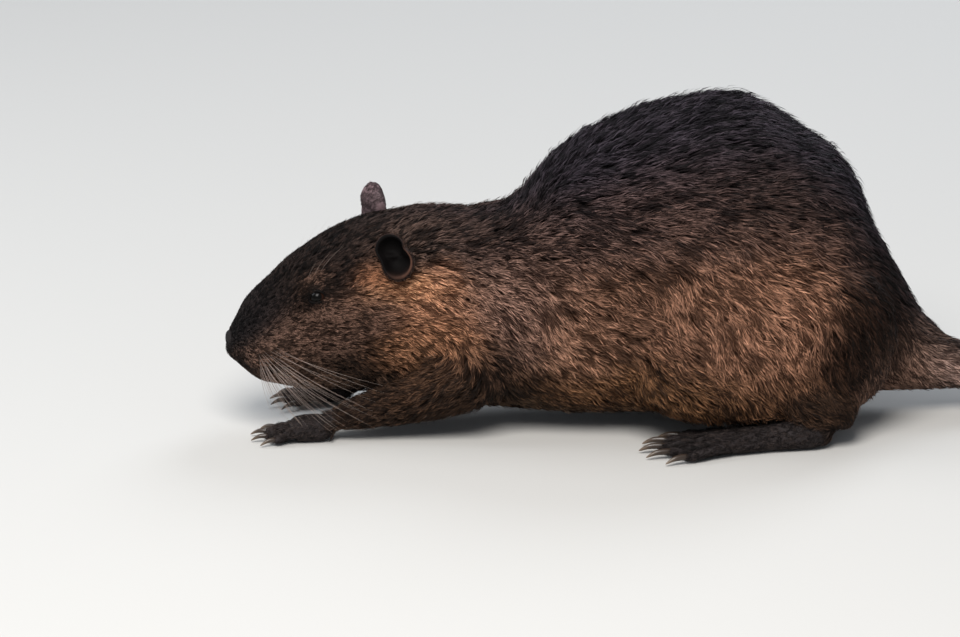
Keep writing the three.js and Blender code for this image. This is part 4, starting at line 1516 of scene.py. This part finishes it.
# The ear's hollow is near black as painted shade, and lighter low on the back of the rim as a painted
# highlight.
rim_row = np.abs(np.arange(ear_rows) / (ear_rows - 1) - EAR_RIM_AT) * 10
rim_share = np.repeat(bump(rim_row, 1.5), ear_columns)
rim_highlight_share = np.tile(np.clip(np.cos(around(ear_columns) + 0.9), 0, 1), ear_rows)
hollow = EAR_SKIN_AND_HOLLOW_SHADE + (EAR_RIM_BROWN_AND_HIGHLIGHT - EAR_SKIN_AND_HOLLOW_SHADE) * (rim_share * rim_highlight_share)[:, None]
for number, side in enumerate(SIDES):
    own = len(hide_points) + number * len(ear_kind) + np.arange(len(ear_kind))
    under[own] = np.where((ear_kind == EAR_HOLLOW)[:, None], hollow, EAR_COLOURS[side][2])
under = np.where((skin_kind == LID_SKIN)[:, None], LID_COLOUR, under)
paint(skin.data, "colour", under, "FLOAT_COLOR")
paint(skin.data, "bare", np.maximum(foot_share, tail_share) * (skin_kind == SKIN_ONLY))
paint(skin.data, "rings", where["station"] * tail_share)


def reckoned(material, operation, *values):
    """The result of an operation on outputs and numbers."""
    made = node(material, "Math", operation=operation)
    for socket, value in zip(made.inputs, values):
        if isinstance(value, float):
            socket.default_value = value
        else:
            wire(material, (value, socket))
    return made.outputs[0]


hide = new_material("hide", Roughness=0.74, Specular_IOR_Level=0.1)
scales = texture(hide, "TexVoronoi", "Distance", _Scale=620.0)
creases = texture(hide, "TexNoise", _Scale=240.0, _Detail=4.0)
rings = reckoned(hide, "SINE", reckoned(hide, "MULTIPLY", stored(hide, "rings"), 110.0))
scaly = reckoned(hide, "MULTIPLY", reckoned(hide, "ADD", scales, rings), stored(hide, "bare"))
coloured(hide, times(hide, stored(hide, "colour", "Color"), varied(hide, creases, 0.7, 1.3)))
bumpy(hide, reckoned(hide, "ADD", scaly, creases), 0.5, 0.0005)
dress(skin, hide)
PAIRED = ("ear", "foreleg", "hindleg", "forefoot", "hindfoot")
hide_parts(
    *("head", "neck", "trunk", "tail_base", "tail_middle", "tail_tip"),
    *(f"{hand}_{part}" for hand in ("left", "right") for part in PAIRED),
)

# ---- Whiskers ----
# Stiff pale bristles in rows on the upper lip's pads, swept back and down, and a few over the eyes.
WHISKER_ROWS = 6
WHISKERS_IN_ROW = 7
SHORTEST = 34  # the ones ahead
LONGER = 42  # how much more the ones behind have
UNEVEN = 10  # and any one
WHISKER_RADIUS = 0.16
EYE_WHISKERS = 3  # over each eye
EYE_WHISKER_RADIUS = 0.1


def whisker_surface(root, way, bend, length, radius, rows=14, columns=5):
    """A round bristle along root + length * (way t + bend t^2), whose radius falls as 1 - 0.9 t."""
    t = np.linspace(0, 1, rows)[:, None]
    line = root + length * (way * t + bend * t**2)
    heading = unit(way + 2 * bend * t)
    across = unit(np.cross(heading, UP))
    over = np.cross(across, heading)
    turns = around(columns)
    out = across[:, None] * np.cos(turns)[:, None] + over[:, None] * np.sin(turns)[:, None]
    return line[:, None] + out * (radius * (1 - 0.9 * t))[:, None]


bristles = []
for side in SIDES:
    for row in range(WHISKER_ROWS):
        for column in range(WHISKERS_IN_ROW):
            behind = (column + 0.5 * rng.random()) / WHISKERS_IN_ROW
            low = row / (WHISKER_ROWS - 1)
            station = 0.5 + 0.95 * behind
            centre, _, right, up, heading = (a[0] for a in sections(SPINE, np.array([station]), SPINE_LEAN))
            turn = 0.02 - 0.5 * low + 0.06 * rng.random()
            out = side * right * math.cos(turn) + up * math.sin(turn)
            root = on_skin((centre + out * 40)[None])[0] - out * 0.6
            sweep = 0.15 + 0.75 * behind - 0.1 * low
            way = unit(out * 0.62 + heading * sweep - UP * (0.5 + 0.2 * low) + rng.normal(0, 0.06, 3))
            bend = heading * 0.2 - UP * 0.06 - out * 0.16
            length = SHORTEST + LONGER * behind + UNEVEN * rng.random()
            bristles.append(whisker_surface(root, way, bend, length, WHISKER_RADIUS))
    for stray in range(EYE_WHISKERS):
        root, out, heading = under_coat(EYE["station"] - 0.1 + 0.12 * stray, side, EYE["turn"] + 0.32, 2.0)
        way = unit(out * 0.8 + UP * 0.4 + heading * (0.2 + 0.2 * stray))
        bend = heading * 0.3 - UP * 0.1
        bristles.append(whisker_surface(root, way, bend, 20 + 4 * stray, EYE_WHISKER_RADIUS))
whiskers = piece_of("whiskers", bristles)
bristle = new_material("whisker bristle", Roughness=0.38, Specular_IOR_Level=0.5)
tone = ramp(
    bristle,
    stored(bristle, "ahead"),
    (0.0, linear(84, 68, 60)),
    (0.3, linear(158, 138, 128)),
    (1.0, linear(186, 168, 156)),
)
mottle = texture(bristle, "TexNoise", _Scale=120.0, _Detail=2.0)
coloured(bristle, times(bristle, tone, mottle, 0.35))
dress(whiskers, bristle)

# ---- Studio ----
# A plain pale floor, a large soft light high on the animal's left, weaker ones ahead and behind on
# the right, and a pale room.
FAR = 40  # how far the floor reaches, in metres
floor_mesh = bpy.data.meshes.new("floor")
floor_corners = [(-FAR, -FAR, 0), (FAR, -FAR, 0), (FAR, FAR, 0), (-FAR, FAR, 0)]
floor_mesh.from_pydata(floor_corners, [], [(0, 1, 2, 3)])
floor = new_object("floor", floor_mesh)
paper = new_material(
    "pale paper", Roughness=0.9, Specular_IOR_Level=0.2, Base_Color=(0.56, 0.55, 0.53, 1)
)
floor.data.materials.append(paper)

scene = bpy.context.scene
world = bpy.data.worlds.new("room")
world.use_nodes = True
background = world.node_tree.nodes["Background"]
background.inputs["Color"].default_value = (0.80, 0.86, 0.95, 1)
background.inputs["Strength"].default_value = 0.38
scene.world = world
MIDDLE = Vector((-0.12, 0, 0.1))  # where the lights point
# Place, width, power and colour of each light.
LIGHTS = [
    ((-0.5, -1.5, 2.0), 1.4, 68, (1.0, 0.97, 0.93)),
    ((-1.8, 0.3, 1.3), 1.2, 16, (0.92, 0.96, 1.0)),
    ((0.9, 1.6, 1.8), 1.4, 26, (0.86, 0.92, 1.0)),
]
for number, (spot, wide, power, tint) in enumerate(LIGHTS):
    lamp = bpy.data.lights.new(f"light {number + 1}", "AREA")
    lamp.shape = "DISK"
    lamp.size = wide
    lamp.energy = power
    lamp.color = tint
    hung = bpy.data.objects.new(lamp.name, lamp)
    hung.location = spot
    hung.rotation_euler = (MIDDLE - Vector(spot)).to_track_quat("-Z", "Y").to_euler()
    scene.collection.objects.link(hung)

# The camera looks down a little from beside the animal, close on head and body.
AZIMUTH = math.radians(-3.5)  # from straight beside it
ELEVATION = math.radians(18.5)
DISTANCE = 5.5
AIM = (-69, 0, 71.885)  # the place in the picture's middle
SENSOR = 36
FOCAL_LENGTH = 299
SIGHT = 50  # how far the camera sees, in metres
towards_camera = Vector((
    math.sin(AZIMUTH) * math.cos(ELEVATION),
    -math.cos(AZIMUTH) * math.cos(ELEVATION),
    math.sin(ELEVATION),
))
lens = bpy.data.cameras.new("camera")
lens.sensor_width = SENSOR
lens.lens = FOCAL_LENGTH
lens.clip_end = SIGHT
camera = bpy.data.objects.new("camera", lens)
camera.location = Vector(np.array(AIM) * MM + SHIFT) + towards_camera * DISTANCE
camera.rotation_euler = (-towards_camera).to_track_quat("-Z", "Y").to_euler()
scene.collection.objects.link(camera)
scene.camera = camera
scene.view_settings.view_transform = "Standard"
